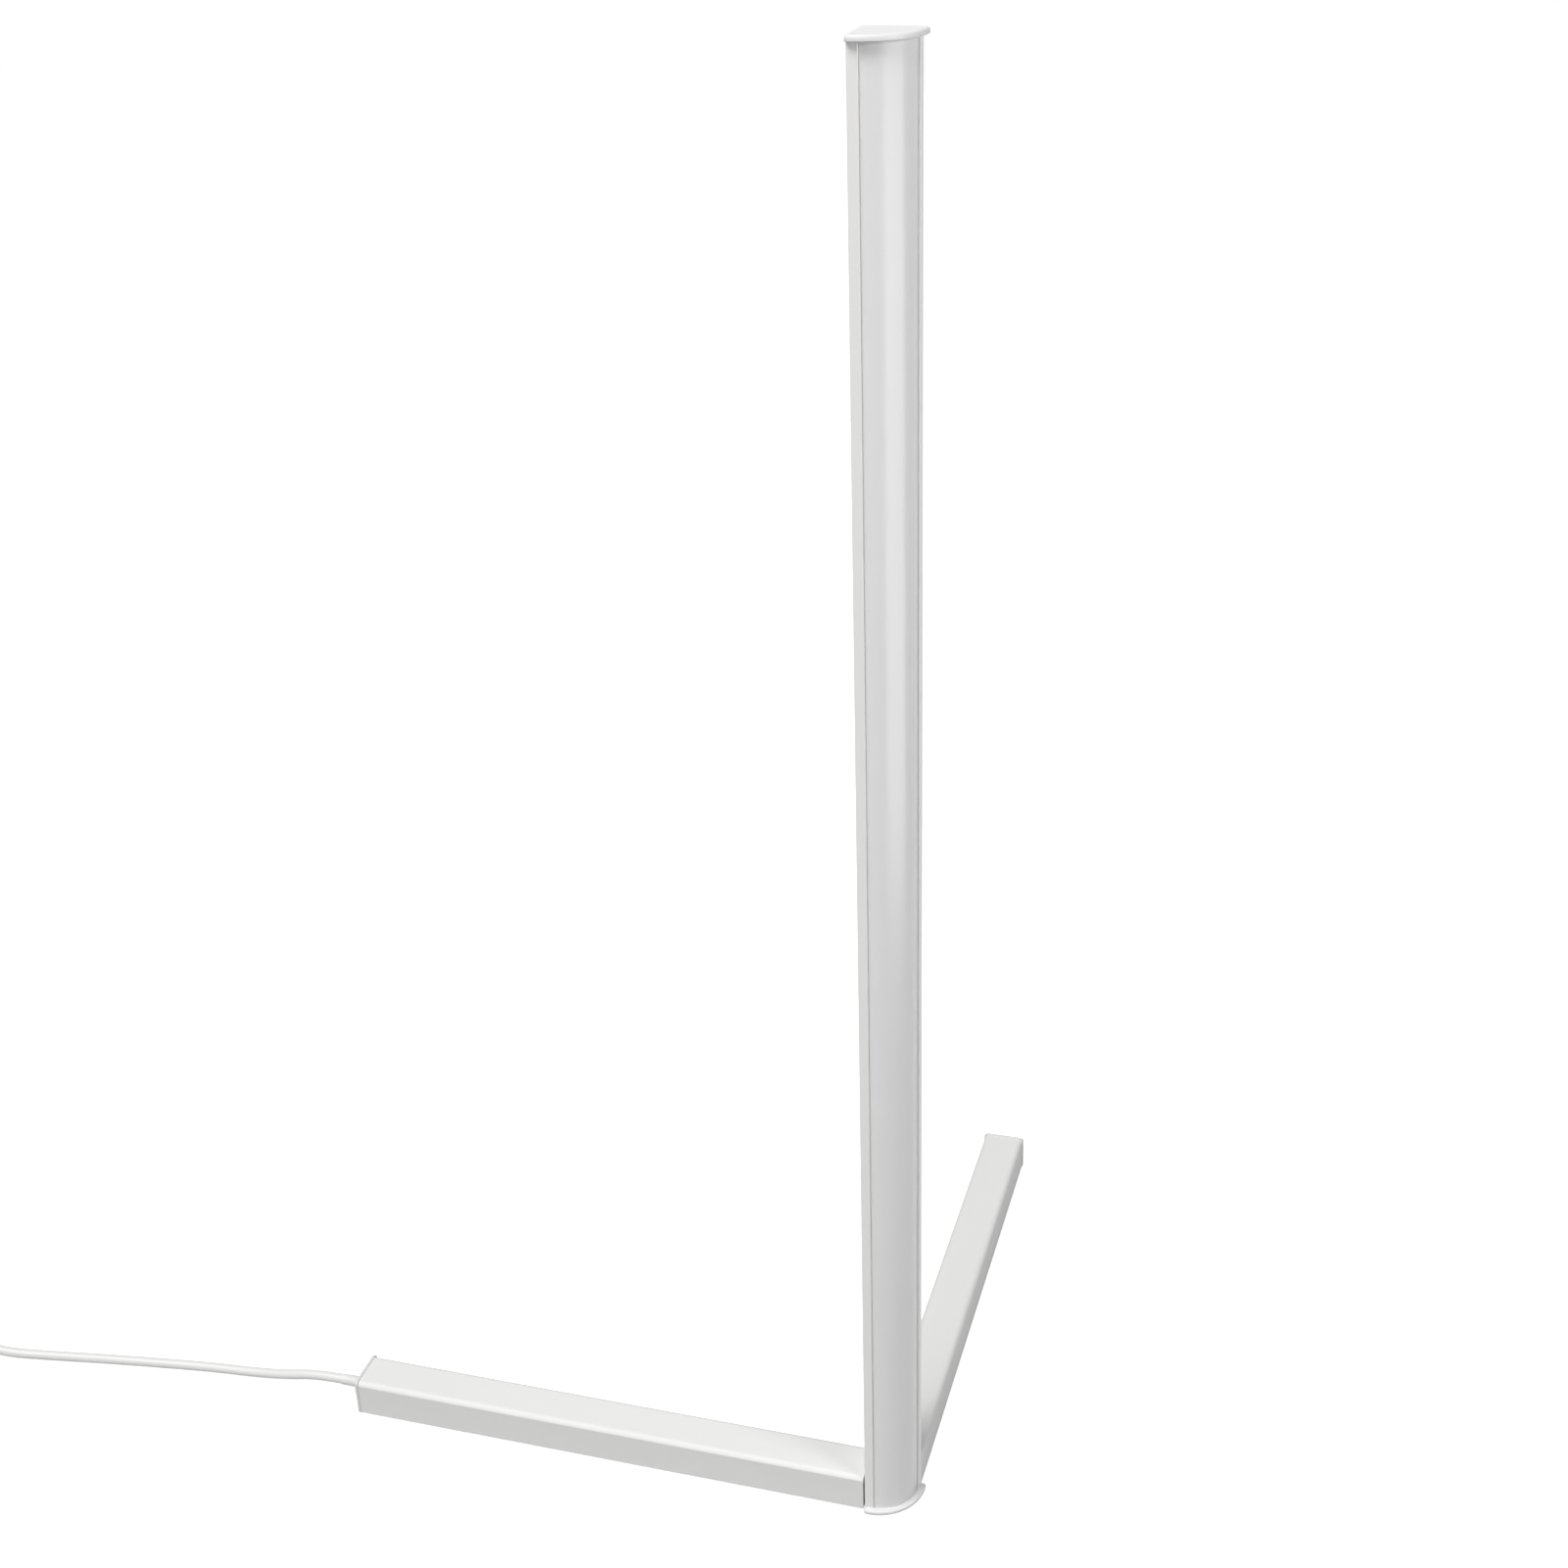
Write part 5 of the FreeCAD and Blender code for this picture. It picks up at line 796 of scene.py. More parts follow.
class Finishes:
    """The finishes of this lamp."""
    COLUMN = PowderCoat("column_powder_coat", (0.835, 0.835, 0.825), 0.40, streak=Streak.ALONG_Z,
                        streak_depth=0.000006, grain_depth=0.000008)
    FOOT = PowderCoat("foot_powder_coat", (0.805, 0.805, 0.795), 0.60, reflectance=0.3,
                      grain_depth=0.000008)
    CAP = Finish("cap_moulding", (0.715, 0.719, 0.72), 0.45, mottle=0.008, grain_scale=1500.0,
                 grain_depth=0.000006)
    COVER = OpalAcrylic("opal_cover", (0.895, 0.889, 0.895), 0.24, mottle=0.006, mottle_scale=3.0,
                        streak=Streak.ALONG_Z, streak_depth=0.000006, grain_depth=0.000003)
    LEAD = Finish("lead_vinyl", (0.78, 0.775, 0.765), 0.42, mottle=0.02, mottle_scale=40.0,
                  grain_scale=700.0, grain_depth=0.000015)
    SLEEVE = Finish("sleeve_vinyl", (0.79, 0.785, 0.775), 0.5, mottle=0.015, grain_depth=0.00001)
    PAD = Finish("pad_rubber", (0.42, 0.42, 0.41), 0.7, grain_scale=1600.0, grain_depth=0.00003)
    SWITCH = Finish("switch_moulding", (0.79, 0.787, 0.778), 0.42, mottle=0.01, grain_scale=1900.0,
                    grain_depth=0.000012)
    BUTTON = Finish("button_moulding", (0.81, 0.808, 0.80), 0.25, mottle=0.008, grain_scale=600.0,
                    grain_depth=0.000004)
    PLUG = Finish("plug_moulding", (0.79, 0.786, 0.776), 0.44, mottle=0.012, grain_scale=1700.0,
                  grain_depth=0.000012)
    PINS = Finish("nickel_pins", (0.72, 0.70, 0.65), 0.28, 0.12, 1.0, streak=Streak.ALONG_Y,
                  streak_depth=0.00001)
    STRAP = Finish("tie_strap", (0.76, 0.755, 0.745), 0.55, grain_scale=1200.0, grain_depth=0.00003)
    ZINC = Finish("zinc_plate", (0.62, 0.62, 0.60), 0.36, 0.16, 1.0, mottle=0.06,
                  mottle_scale=220.0, grain_scale=1500.0, grain_depth=0.00001)
    # Foot blocks, seen only through the shadow gaps: a dark phosphate colour, made darker still so
    # that the gaps read dark, partly painted shade.
    CAST_GAP_SHADE = CellFinish("cast_alloy_gap_shade", (0.20, 0.20, 0.205), 0.6, 0.15, 1.0, mottle=0.05,
                      mottle_scale=90.0, grain_scale=700.0, grain_depth=0.00001, cell_scale=900.0)
    LIGHT_BOARD = CircuitMask("light_board_mask", (0.80, 0.80, 0.77), 0.4, track=(0.70, 0.70, 0.66))
    CHIP = CellFinish("phosphor", (0.80, 0.70, 0.26), 0.5, mottle=0.05, mottle_scale=900.0,
                      cell_scale=2600.0)
    NYLON = Finish("connector_nylon", (0.78, 0.77, 0.72), 0.5, grain_scale=1300.0)
    CABLE = Finish("cable_vinyl", (0.76, 0.76, 0.75), 0.45, streak=Streak.ALONG_X)
    GROMMET = Finish("grommet_rubber", (0.10, 0.10, 0.10), 0.65, grain_depth=0.00003)
    CORES = BandedFinish("core_insulation", BROWN_CORE, 0.4, axis=1, pitch=0.0198,
                         start=-0.01355, bands=(BLUE_CORE, BROWN_CORE, GREEN_CORE))
    SWITCH_CORES = BandedFinish("switch_core_insulation", BROWN_CORE, 0.4, axis=1, pitch=0.0078,
                                start=-0.0369, bands=(BLUE_CORE, BROWN_CORE, GREEN_CORE))
    EARTH = BandedFinish("earth_insulation", GREEN_CORE, 0.4, axis=0, pitch=0.012,
                         bands=(GREEN_CORE, YELLOW_CORE))
    LUG = Finish("tinned_copper", (0.70, 0.70, 0.67), 0.4, 0.15, 1.0, streak=Streak.ALONG_X,
                 streak_depth=0.00001)
    DRIVER = Finish("driver_moulding", (0.76, 0.76, 0.75), 0.5, grain_scale=1600.0,
                    grain_depth=0.00003)
    DRIVER_BOARD = CircuitMask("driver_board_mask", (0.05, 0.19, 0.08), 0.38)
    WINDING = BandedFinish("transformer_tape", BLACK_TAPE, 0.45, axis=1, pitch=0.0225,
                           start=-0.0149, bands=(BLACK_TAPE, (0.70, 0.52, 0.10), BLACK_TAPE))
    CAPACITOR = BandedFinish("capacitor_sleeve", DARK_SLEEVE, 0.3, axis=2, pitch=0.02,
                             bands=(DARK_SLEEVE, DARK_SLEEVE, (0.45, 0.47, 0.5)))
    CHOKE = BandedFinish("choke_winding", (0.40, 0.16, 0.05), 0.35, axis=0, pitch=0.0009,
                         bands=((0.40, 0.16, 0.05), (0.22, 0.08, 0.03)))
    HEATSINK = Finish("rolled_aluminium", (0.62, 0.62, 0.63), 0.38, 0.1, 1.0,
                      streak=Streak.ALONG_X, streak_depth=0.00002)
    FOAM = CellFinish("foam_tape", (0.72, 0.72, 0.70), 0.85, grain_depth=0.00005)
    PHENOLIC = CellFinish("contact_block", (0.05, 0.05, 0.05), 0.5, mottle=0.2, mottle_scale=300.0)


# --------------------------------------------------------------------------- the lead
@dataclass
class MainsLead:
    """The lead: a free stretch to the foot switch, then the put-away coil and the plug."""
    diameter: float = 7.4
    switch_x: float = -765.0
    switch_y: float = -46.0
    switch_lead_height: float = 9.0
    entry: float = 41.0
    coil_x: float = -866.0
    coil_outer: float = 51.0
    coil_pitch: float = 8.0
    turns_in: float = 2.75
    turns_out: float = 2.5
    coil_low: float = 4.8
    points_per_turn: int = 16
    steps_round: int = 7
    steps_along: int = 8
    plug_height: float = 18.5

    def to_switch(self) -> list[tuple[float, float, float]]:
        """Return the points from the left foot's sleeve to the switch."""
        low = self.diameter / 2
        return [(-414.0, -16.65, 15.4), (-436.0, -16.65, 15.2), (-462.0, -16.9, 9.2),
                (-492.0, -16.0, 4.4), (-526.0, -18.2, low), (-568.0, -24.0, low),
                (-616.0, -31.2, low), (-660.0, -38.6, low), (-690.0, -44.8, 5.4),
                (-710.0, self.switch_y, self.switch_lead_height),
                (self.switch_x + self.entry, self.switch_y, self.switch_lead_height)]

    def coil(self) -> np.ndarray:
        """Return the coil's points.

        After t turns the angle is -90 - 360 t degrees.  The radius shrinks by the pitch each
        turn up to turns_in and grows again after it, and the height steps up one layer in the
        half turn about that place.  Each radius is stretched by what a quadratic spline
        draws in, 3/4 + 1/4 cos(step), so that the line keeps the tube's radius.

        Returns:
            Array of points.
        """
        total = self.turns_in + self.turns_out
        turns = np.linspace(0, total, round(total * self.points_per_turn) + 1)
        past = turns - self.turns_in
        middle = self.coil_outer - self.coil_pitch * self.turns_in
        draw_in = 0.75 + 0.25 * math.cos(FULL_TURN / self.points_per_turn)
        radius = (middle + self.coil_pitch * np.abs(past)) / draw_in
        angle = np.radians(-90.0 - 360.0 * turns)
        climb = np.clip(past * 2 + 0.5, 0, 1)
        height = self.coil_low + self.coil_pitch * climb * climb * (3 - 2 * climb)
        centre_y = self.switch_y + self.coil_outer
        return np.stack([self.coil_x + radius * np.cos(angle), centre_y + radius * np.sin(angle),
                         height], axis=-1)

    def to_plug(self) -> np.ndarray:
        """Return the points from the switch, round the coil and up to the plug's boot."""
        start = self.switch_x - self.entry
        high = self.coil_low + self.coil_pitch
        end_x = self.coil_x - self.coil_outer + self.coil_pitch * (self.turns_in - self.turns_out)
        link = [(start, self.switch_y, self.switch_lead_height),
                (-822.0, self.switch_y, self.switch_lead_height),
                (-842.0, self.switch_y, self.coil_low),
                (-858.6, self.switch_y, self.coil_low)]
        tail = [(end_x, 12.4, high), (end_x, 26.0, high), (end_x - 1.6, 42.0, 10.8),
                (end_x - 0.9, 60.0, 12.6), (end_x, 78.0, self.plug_height),
                (end_x, 92.0, self.plug_height)]
        return np.concatenate([np.array(link), self.coil(), np.array(tail)])

    def spline(self, name: str, points: Sequence[Sequence[float]]) -> bpy.types.Object:
        """Make a round cord along control points.

        Args:
            name: The piece's name.
            points: The spline's control points in millimetres.

        Returns:
            The curve object.
        """
        curve = bpy.data.curves.new(name, "CURVE")
        curve.dimensions = "3D"
        curve.bevel_depth = self.diameter / 2 * MILLIMETRE
        curve.bevel_resolution = self.steps_round
        curve.resolution_u = self.steps_along
        curve.use_fill_caps = True
        line = curve.splines.new("NURBS")
        line.points.add(len(points) - 1)
        spots = to_lamp(np.array(points))
        line.points.foreach_set("co", np.column_stack([spots, np.ones(len(spots))]).ravel())
        line.order_u = 3
        line.use_endpoint_u = True
        return placed(name, curve)

    def build(self) -> tuple[bpy.types.Object, bpy.types.Object]:
        """Make both stretches of the lead and return them."""
        first = self.spline("lead_from_lamp", self.to_switch())
        dress(first, Finishes.LEAD, ["lead_to_switch"], "lamp")
        second = self.spline("lead_to_plug_coiled", self.to_plug())
        dress(second, Finishes.LEAD,
              ["lead_to_coil", "lead_coil", "lead_to_plug"], "lamp")
        return first, second


@dataclass
class CoilTie:
    """Soft strap round the bundle of turns."""
    angle: float = 110.0
    width: float = 6.0
    thickness: float = 0.8
    inner: tuple[float, float] = (26.0, 55.7)
    levels: tuple[float, float] = (0.8, 16.8)
    outer_corner: float = 2.6
    inner_corner: float = 1.8
    edge: float = 0.2

    def build(self, lead: MainsLead) -> bpy.types.Object:
        """Make the strap as a rounded ring in the plane of the radius and the height.

        Args:
            lead: The lead whose coil it holds.

        Returns:
            The strap.
        """
        turn = math.radians(self.angle)
        radial = np.array([math.cos(turn), math.sin(turn), 0.0])
        tangent = np.array([-math.sin(turn), math.cos(turn), 0.0])
        centre = np.array([lead.coil_x, lead.switch_y + lead.coil_outer, 0.0])

        def around(across: np.ndarray, level: np.ndarray) -> np.ndarray:
            """Put (radius, height) in the strap's plane, level along the turns."""
            flat = centre + across[..., :1] * radial + level[..., None] * tangent
            return flat + across[..., 1:] * np.array(UPWARDS)

        (left, right), (low, high) = self.inner, self.levels
        thick, half = self.thickness, self.width / 2
        outer = rectangle((left - thick, low - thick), (right + thick, high + thick),
                          self.outer_corner, self.outer_corner)
        hole = rectangle((left, low), (right, high), self.inner_corner, self.inner_corner)
        ends = rounded_ends(-half, half, self.edge, self.edge, 2)
        draft = Draft().bar(outer, ends, around, [hole])
        return draft.piece("coil_strap", Finishes.STRAP, "tie_strap", ["coil_tie"])


# ------------------------------------------------------------------------- the column
@dataclass
class Column:
    """The V-shaped extrusion, its opal cover and the fan-shaped caps at both ends."""
    top: float = 1000.0
    cap: float = 3.6
    cap_bottom: float = 0.4
    reach: float = 33.3
    wall: float = 1.6
    lip: float = 6.4
    lip_thickness: float = 1.4
    slot: float = 2.0
    rib: float = 1.0
    rib_reach: float = 5.0
    web: float = 9.9
    web_thickness: float = 1.4
    port: float = 2.7
    bore: float = 1.45
    tip_port: tuple[float, float] = (3.7, -25.6)
    corner_port: float = 4.0
    corner_round: float = 0.8
    lip_round: float = 0.6
    lip_inner_round: float = 0.35
    slot_round: float = 0.2
    web_round: float = 0.3
    cover_offset: float = 5.6
    cover_radius: float = 26.4
    cover_wall: float = 1.4
    cover_gap: float = 0.2
    cover_end_gap: float = 0.3
    cover_step: float = 1.6
    cover_edge_run: float = 0.3
    cover_edge_drop: float = 0.05
    cover_edge_round: float = 0.1
    cover_root_round: float = 0.05
    tongue_round: float = 0.3
    cap_centre: float = 3.0
    cap_radius: float = 34.0
    overhang: float = 0.3
    tip_round: float = 1.8
    back_round: float = 1.6
    inner_rim: float = 0.7
    outer_rim: float = 1.5
    lower_cap_inner_rim: float = 1.4
    top_rim_stretch: float = 1.8
    peg_length: float = 9.0
    peg_radius: float = 1.35
    peg_chamfer: float = 0.25
    screw_seat: float = 2.95
    pad_offset: float = 13.0
    pad_hole: float = 6.6

    @property
    def levels(self) -> tuple[float, float]:
        """Lower and upper end of the extrusion."""
        return self.cap_bottom + self.cap, self.top - self.cap

    @property
    def ports(self) -> tuple[tuple[float, float], ...]:
        """Middles of the three screw ports in plan: the corner's and the two tips'."""
        tip_x, tip_y = self.tip_port
        return (self.corner_port, -self.corner_port), (tip_x, tip_y), (-tip_y, -tip_x)

    def other_side(self, items: Sequence[Item]) -> list[Item]:
        """Mirror part of an outline across the diagonal, and reverse its order.

        Args:
            items: Corners and arcs of one side.

        Returns:
            Those of the other side.
        """
        swapped: list[Item] = []
        for item in reversed(items):
            if isinstance(item, Corner):
                swapped.append(Corner(-item.y, -item.x, item.radius, item.steps))
            else:
                swapped.append(Bend(-item.y, -item.x, item.radius, 270 - item.end,
                                    270 - item.start, item.steps))
        return swapped

    def section(self) -> np.ndarray:
        """Return the extrusion's outer line: wings, lips, slots, ribs, ports and web."""
        slot_low = -self.reach + self.lip_thickness
        slot_high = slot_low + self.slot
        rib_high = slot_high + self.rib
        port_x, port_y = self.tip_port
        spread = math.degrees(math.acos((self.wall - port_x) / self.port))
        web_y = self.wall - self.web * math.sqrt(2)
        wall, rib, slot = self.wall, self.rib_reach, self.slot_round
        side: list[Item] = [
            Corner(0, -self.reach, self.lip_round, 5),
            Corner(self.lip, -self.reach, self.lip_round, 6),
            Corner(self.lip, slot_low, self.lip_inner_round), Corner(wall, slot_low, slot),
            Corner(wall, slot_high, slot), Corner(rib, slot_high, slot),
            Corner(rib, rib_high, slot), Corner(wall, rib_high, slot),
            Bend(port_x, port_y, self.port, -spread, spread), Corner(wall, web_y, self.web_round)]
        back = Corner(0, 0, self.corner_round, 6)
        return closed_line([back] + side + self.other_side(side))

    def hollows(self) -> list[np.ndarray]:
        """Return the lines of the hollow behind the web and of the three screw bores."""
        back = self.wall - (self.web - self.web_thickness) * math.sqrt(2)
        port = self.corner_port
        rise = math.sqrt(self.port ** 2 - (port - self.wall) ** 2)
        angle = math.degrees(math.atan2(-rise, self.wall - port)) % 360
        behind = closed_line([Corner(self.wall, back, self.web_round),
                              Bend(port, -port, self.port, angle, 270 - angle + 360),
                              Corner(-back, -self.wall, self.web_round)])
        return [behind] + [circle(x, y, self.bore, 20) for x, y in self.ports]

    def cover_section(self) -> np.ndarray:
        """Return the cover's line: outer arc, step, tongue, inner arc."""
        edge = self.lip + self.cover_gap
        tongue_x = self.wall + self.cover_gap
        tongue_low = -self.reach + self.lip_thickness + self.cover_gap
        tongue_high = tongue_low + self.slot - 2 * self.cover_gap
        offset, radius = self.cover_offset, self.cover_radius
        inner = radius - self.cover_wall
        step = edge + self.cover_step
        outer_angle = math.degrees(math.acos((edge + self.cover_edge_run - offset) / radius))
        inner_angle = math.degrees(math.acos((step - offset) / inner))
        tongue: list[Item] = [
            Corner(step, tongue_high, self.cover_edge_round),
            Corner(tongue_x, tongue_high, self.tongue_round),
            Corner(tongue_x, tongue_low, self.tongue_round),
            Corner(edge, tongue_low, self.cover_root_round),
            Corner(edge, -offset - radius + self.cover_edge_drop, self.cover_edge_round, 3)]
        arc = Bend(offset, -offset, radius, -outer_angle, outer_angle - 90, 72)
        back = Bend(offset, -offset, inner, inner_angle - 90, -inner_angle, 60)
        return closed_line(tongue + [arc] + self.other_side(tongue) + [back])

    def fan(self) -> np.ndarray:
        """Return the cap's line: two straight backs, rounded tips and the wide arc."""
        tip, big, middle = self.tip_round, self.cap_radius, self.cap_centre
        tip_x = tip - self.overhang
        tip_y = -middle - math.sqrt((big - tip) ** 2 - (tip_x - middle) ** 2)
        meet = math.degrees(math.atan2(tip_y + middle, tip_x - middle))
        left: list[Item] = [Bend(tip_x, tip_y, tip, 180, 360 + meet, 12)]
        arc = Bend(middle, -middle, big, meet, 270 - meet - 360, 72)
        back = Corner(-self.overhang, self.overhang, self.back_round, 8)
        return closed_line([back] + left + [arc] + self.other_side(left))

    def build(self) -> None:
        """Make the extrusion, the cover and both caps."""
        low, high = self.levels
        body = Draft().bar(self.section(), [(low, 0), (high, 0)], upright, self.hollows())
        body.piece("column_extrusion", Finishes.COLUMN, "white_column_paint", ["column_profile"])
        gap = self.cover_end_gap
        cover = Draft().bar(self.cover_section(), [(low + gap, 0), (high - gap, 0)], upright)
        cover.piece("opal_diffuser", Finishes.COVER, "opal_plastic", ["opal_cover"])
        fan = self.fan()
        rims = rounded_ends(high, self.top, self.inner_rim, self.outer_rim, 8, self.top_rim_stretch)
        upper = Draft().bar(fan, rims, upright)
        length, radius, chamfer = self.peg_length, self.peg_radius, self.peg_chamfer
        peg = [(0, 0), (0, radius - chamfer), (chamfer, radius), (length, radius), (length, 0)]
        for x, y in self.ports:
            upper.turned(peg, (x, y, high - length), UPWARDS, 20)
        upper.piece("top_fan_cap", Finishes.CAP, "white_cap_plastic", ["top_cap"])
        holes = [circle(x, y, self.screw_seat, 28) for x, y in self.ports]
        holes.append(circle(self.pad_offset, -self.pad_offset, self.pad_hole, 40))
        rims = rounded_ends(self.cap_bottom, low, self.outer_rim, self.lower_cap_inner_rim, 8)
        lower = Draft().bar(fan, rims, upright, holes)
        lower.piece("bottom_fan_cap", Finishes.CAP, "white_cap_plastic", ["bottom_cap"])


# --------------------------------------------------------------------------- the feet
@dataclass
class Feet:
    """Two hollow bars, their end plates, the lead's sleeve and the rubber pads."""
    reach: float = 394.0
    middle: float = -16.65
    width: float = 32.6
    bottom: float = 1.2
    height: float = 28.4
    wall: float = 1.8
    top_radius: float = 4.6
    top_roll: float = 68.0
    bottom_radius: float = 0.8
    gap: float = 1.2
    port: float = 2.6
    bore: float = 1.45
    port_inset: float = 4.4
    plate: float = 2.2
    proud: float = 0.8
    plate_corner: float = 3.0
    plate_round: float = 0.5
    plate_inner_round: float = 0.45
    cut_ends: tuple[float, float] = (0.05, 0.35)
    hollow_corner: float = 0.4
    screw_seat: float = 2.95
    screw_hole: float = 2.05
    countersink: float = 3.65
    countersink_depth: float = 0.9
    cutter_overlap: float = 0.5
    screw_spread: float = 9.0
    screw_back: float = 12.0
    shelf_gap: float = 0.2
    shelf_width: float = 24.0
    shelf_thickness: float = 2.0
    shelf_length: float = 70.0
    tab_length: float = 9.0
    saddle_width: float = 20.0
    saddle_sink: float = 0.1
    saddle_drop: float = 0.4
    saddle_span: tuple[float, float] = (9.0, 19.0)
    sleeve_fit: float = 0.05
    sleeve_length: float = 20.0
    sleeve_root: float = 4.3
    sleeve_tip: float = 4.0
    sleeve_flange: float = 6.6
    sleeve_flange_back: float = 4.2
    lead_radius: float = 3.75
    pad_height: float = 1.2
    pad_radius: float = 9.0
    pad_rim: float = 0.35
    outer_pad: float = 24.0
    inner_pad: float = 42.0
    column_pad: float = 13.0
    column_pad_radius: float = 6.5
    column_pad_height: float = 1.0

    @property
    def span(self) -> tuple[tuple[float, float], tuple[float, float]]:
        """Lowest and highest corner of the foot's section in (y, z)."""
        half = self.width / 2
        return ((self.middle - half, self.bottom), (self.middle + half, self.bottom + self.height))

    @property
    def centre(self) -> float:
        """Height of the middle of the section."""
        return self.bottom + self.height / 2

    @property
    def ports(self) -> tuple[tuple[float, float], tuple[float, float]]:
        """Middles of the two screw ports in (y, z)."""
        (low_y, _), (high_y, high_z) = self.span
        return ((low_y + self.port_inset, high_z - self.port_inset),
                (high_y - self.port_inset, high_z - self.port_inset))

    def hollow(self) -> np.ndarray:
        """Return the foot's inner line, which passes inside both screw ports."""
        (low_y, low_z), (high_y, _) = self.span
        (left_y, port_z), (right_y, _) = self.ports
        corner = self.hollow_corner
        return closed_line([Corner(low_y + self.wall, low_z + self.wall, corner),
                            Corner(high_y - self.wall, low_z + self.wall, corner),
                            Bend(right_y, port_z, self.port, 360, 90, 18),
                            Bend(left_y, port_z, self.port, 90, -180, 18)])

    def section(self) -> np.ndarray:
        """Return the bar's outer line: each upper edge rolls down and ends in a crease."""
        (low_y, low_z), (high_y, high_z) = self.span
        radius, roll = self.top_radius, self.top_roll
        inward = radius * math.sin(math.radians(roll))
        return closed_line([
            Corner(low_y, low_z, self.bottom_radius, 5),
            Corner(high_y, low_z, self.bottom_radius, 5),
            Bend(high_y - inward, high_z - radius, radius, 90 - roll, 90, 12),
            Bend(low_y + inward, high_z - radius, radius, 90, 90 + roll, 12)])

    def bars(self) -> None:
        """Make both hollow bars, with the countersinks of their lower screws."""
        outer = self.section()
        holes = [self.hollow()] + [circle(y, z, self.bore, 16) for y, z in self.ports]
        ends = rounded_ends(-self.reach + self.plate, -self.gap, *self.cut_ends, 3)
        sunk, through = self.cutter_overlap + self.countersink_depth, 2 * self.wall
        seat = [(0, 0), (0, self.countersink), (sunk, self.countersink), (sunk, self.screw_hole),
                (through, self.screw_hole), (through, 0)]
        for side, place in (("left", lengthwise), ("right", mirrored(lengthwise))):
            seats = Draft()
            for y in (self.middle - self.screw_spread, self.middle + self.screw_spread):
                start = place(np.array([y, self.bottom - self.cutter_overlap]),
                              np.array(-self.screw_back))
                seats.turned(seat, start, UPWARDS, 32)
            bar = Draft().bar(outer, ends, place, holes)
            bar.piece(side + "_foot_bar", Finishes.FOOT, "white_foot_paint",
                      [side + "_foot_profile"], cutters=seats, soft_angle=15.0)

    def plates(self) -> None:
        """Make both end plates; the left one also carries the inner shelf and saddle."""
        (low_y, low_z), (high_y, high_z) = self.span
        grow = self.proud
        outer = rectangle((low_y - grow, low_z - grow), (high_y + grow, high_z + grow),
                          self.plate_corner, self.plate_corner, 8)
        seats = [circle(y, z, self.screw_seat, 28) for y, z in self.ports]
        way = circle(self.middle, self.centre, self.sleeve_root + self.sleeve_fit, 40)
        start = -self.reach + self.plate
        ends = rounded_ends(-self.reach, start, self.plate_round, self.plate_inner_round, 5)
        shelf_low = self.bottom + self.wall + self.shelf_gap
        shelf_high, half = shelf_low + self.shelf_thickness, self.shelf_width / 2
        shelf = rectangle((self.middle - half, shelf_low), (self.middle + half, shelf_high),
                          0.3, 0.3, 2)
        left = Draft().bar(outer, ends, lengthwise, seats + [way])
        left.bar(shelf, [(start, 0), (start + self.shelf_length, 0)], lengthwise)
        left.bar(self.saddle(shelf_high - self.saddle_sink),
                 [(start + reach, 0) for reach in self.saddle_span], lengthwise)
        left.piece("left_end_plate", Finishes.CAP, "white_cap_plastic", ["left_end_cap"])
        right = Draft().bar(outer, ends, mirrored(lengthwise), seats)
        right.bar(shelf, [(start, 0), (start + self.tab_length, 0)], mirrored(lengthwise))
        right.piece("right_end_plate", Finishes.CAP, "white_cap_plastic", ["right_end_cap"])

    def saddle(self, low: float) -> np.ndarray:
        """Return the outline of the block that carries the lead in a groove.

        Args:
            low: Height of its underside.

        Returns:
            Its line in (y, z).
        """
        left, right = self.middle - self.saddle_width / 2, self.middle + self.saddle_width / 2
        high = self.centre - self.saddle_drop
        return closed_line([Corner(left, low, 0.2), Corner(right, low, 0.2),
                            Corner(right, high, 0.3),
                            Bend(self.middle, self.centre, self.lead_radius, -6, -174, 16),
                            Corner(left, high, 0.3)])

    def sleeve(self) -> None:
        """Make the lead's sleeve: a hollow taper with a rounded tip and a flange inside."""
        length, root, tip = self.sleeve_length, self.sleeve_root, self.sleeve_tip
        way, flange, back = self.lead_radius, self.sleeve_flange, -self.sleeve_flange_back
        profile = [(back, way), (back, flange - 0.2), (back + 0.2, flange), (-self.plate, flange),
                   (-self.plate, root), (0, root), (2.0, root - 0.05), (length - 0.4, tip),
                   (length - 0.1, tip - 0.12), (length, tip - 0.2), (length, way), (back, way)]
        draft = Draft().turned(profile, (-self.reach, self.middle, self.centre), (-1, 0, 0))
        draft.piece("lead_sleeve", Finishes.SLEEVE, "white_sleeve_vinyl", ["cord_sleeve"])

    def pads(self) -> None:
        """Make the five rubber pads: low discs with a rounded lower rim."""
        draft = Draft()
        outer = self.reach - self.outer_pad
        for x, y in ((-outer, self.middle), (-self.inner_pad, self.middle),
                     (-self.middle, outer), (-self.middle, self.inner_pad)):
            self.pad(draft, x, y, self.pad_radius, self.pad_height)
        self.pad(draft, self.column_pad, -self.column_pad, self.column_pad_radius,
                 self.column_pad_height)
        draft.piece("rubber_pads", Finishes.PAD, "pad_rubber", ["floor_pads"])

    def pad(self, draft: Draft, x: float, y: float, radius: float, height: float) -> None:
        """Draw one pad that stands on the floor.

        Args:
            draft: What it is drawn into.
            x: Its middle.
            y: Its middle.
            radius: Its radius.
            height: Its height.
        """
        rim = self.pad_rim
        slope = rim * 0.3
        draft.turned([(0, 0), (0, radius - rim), (slope, radius - slope), (rim, radius),
                      (height, radius), (height, 0)], (x, y, 0), UPWARDS, 40)

    def build(self) -> None:
        """Make everything of both feet that shows."""
        self.bars()
        self.plates()
        self.sleeve()
        self.pads()


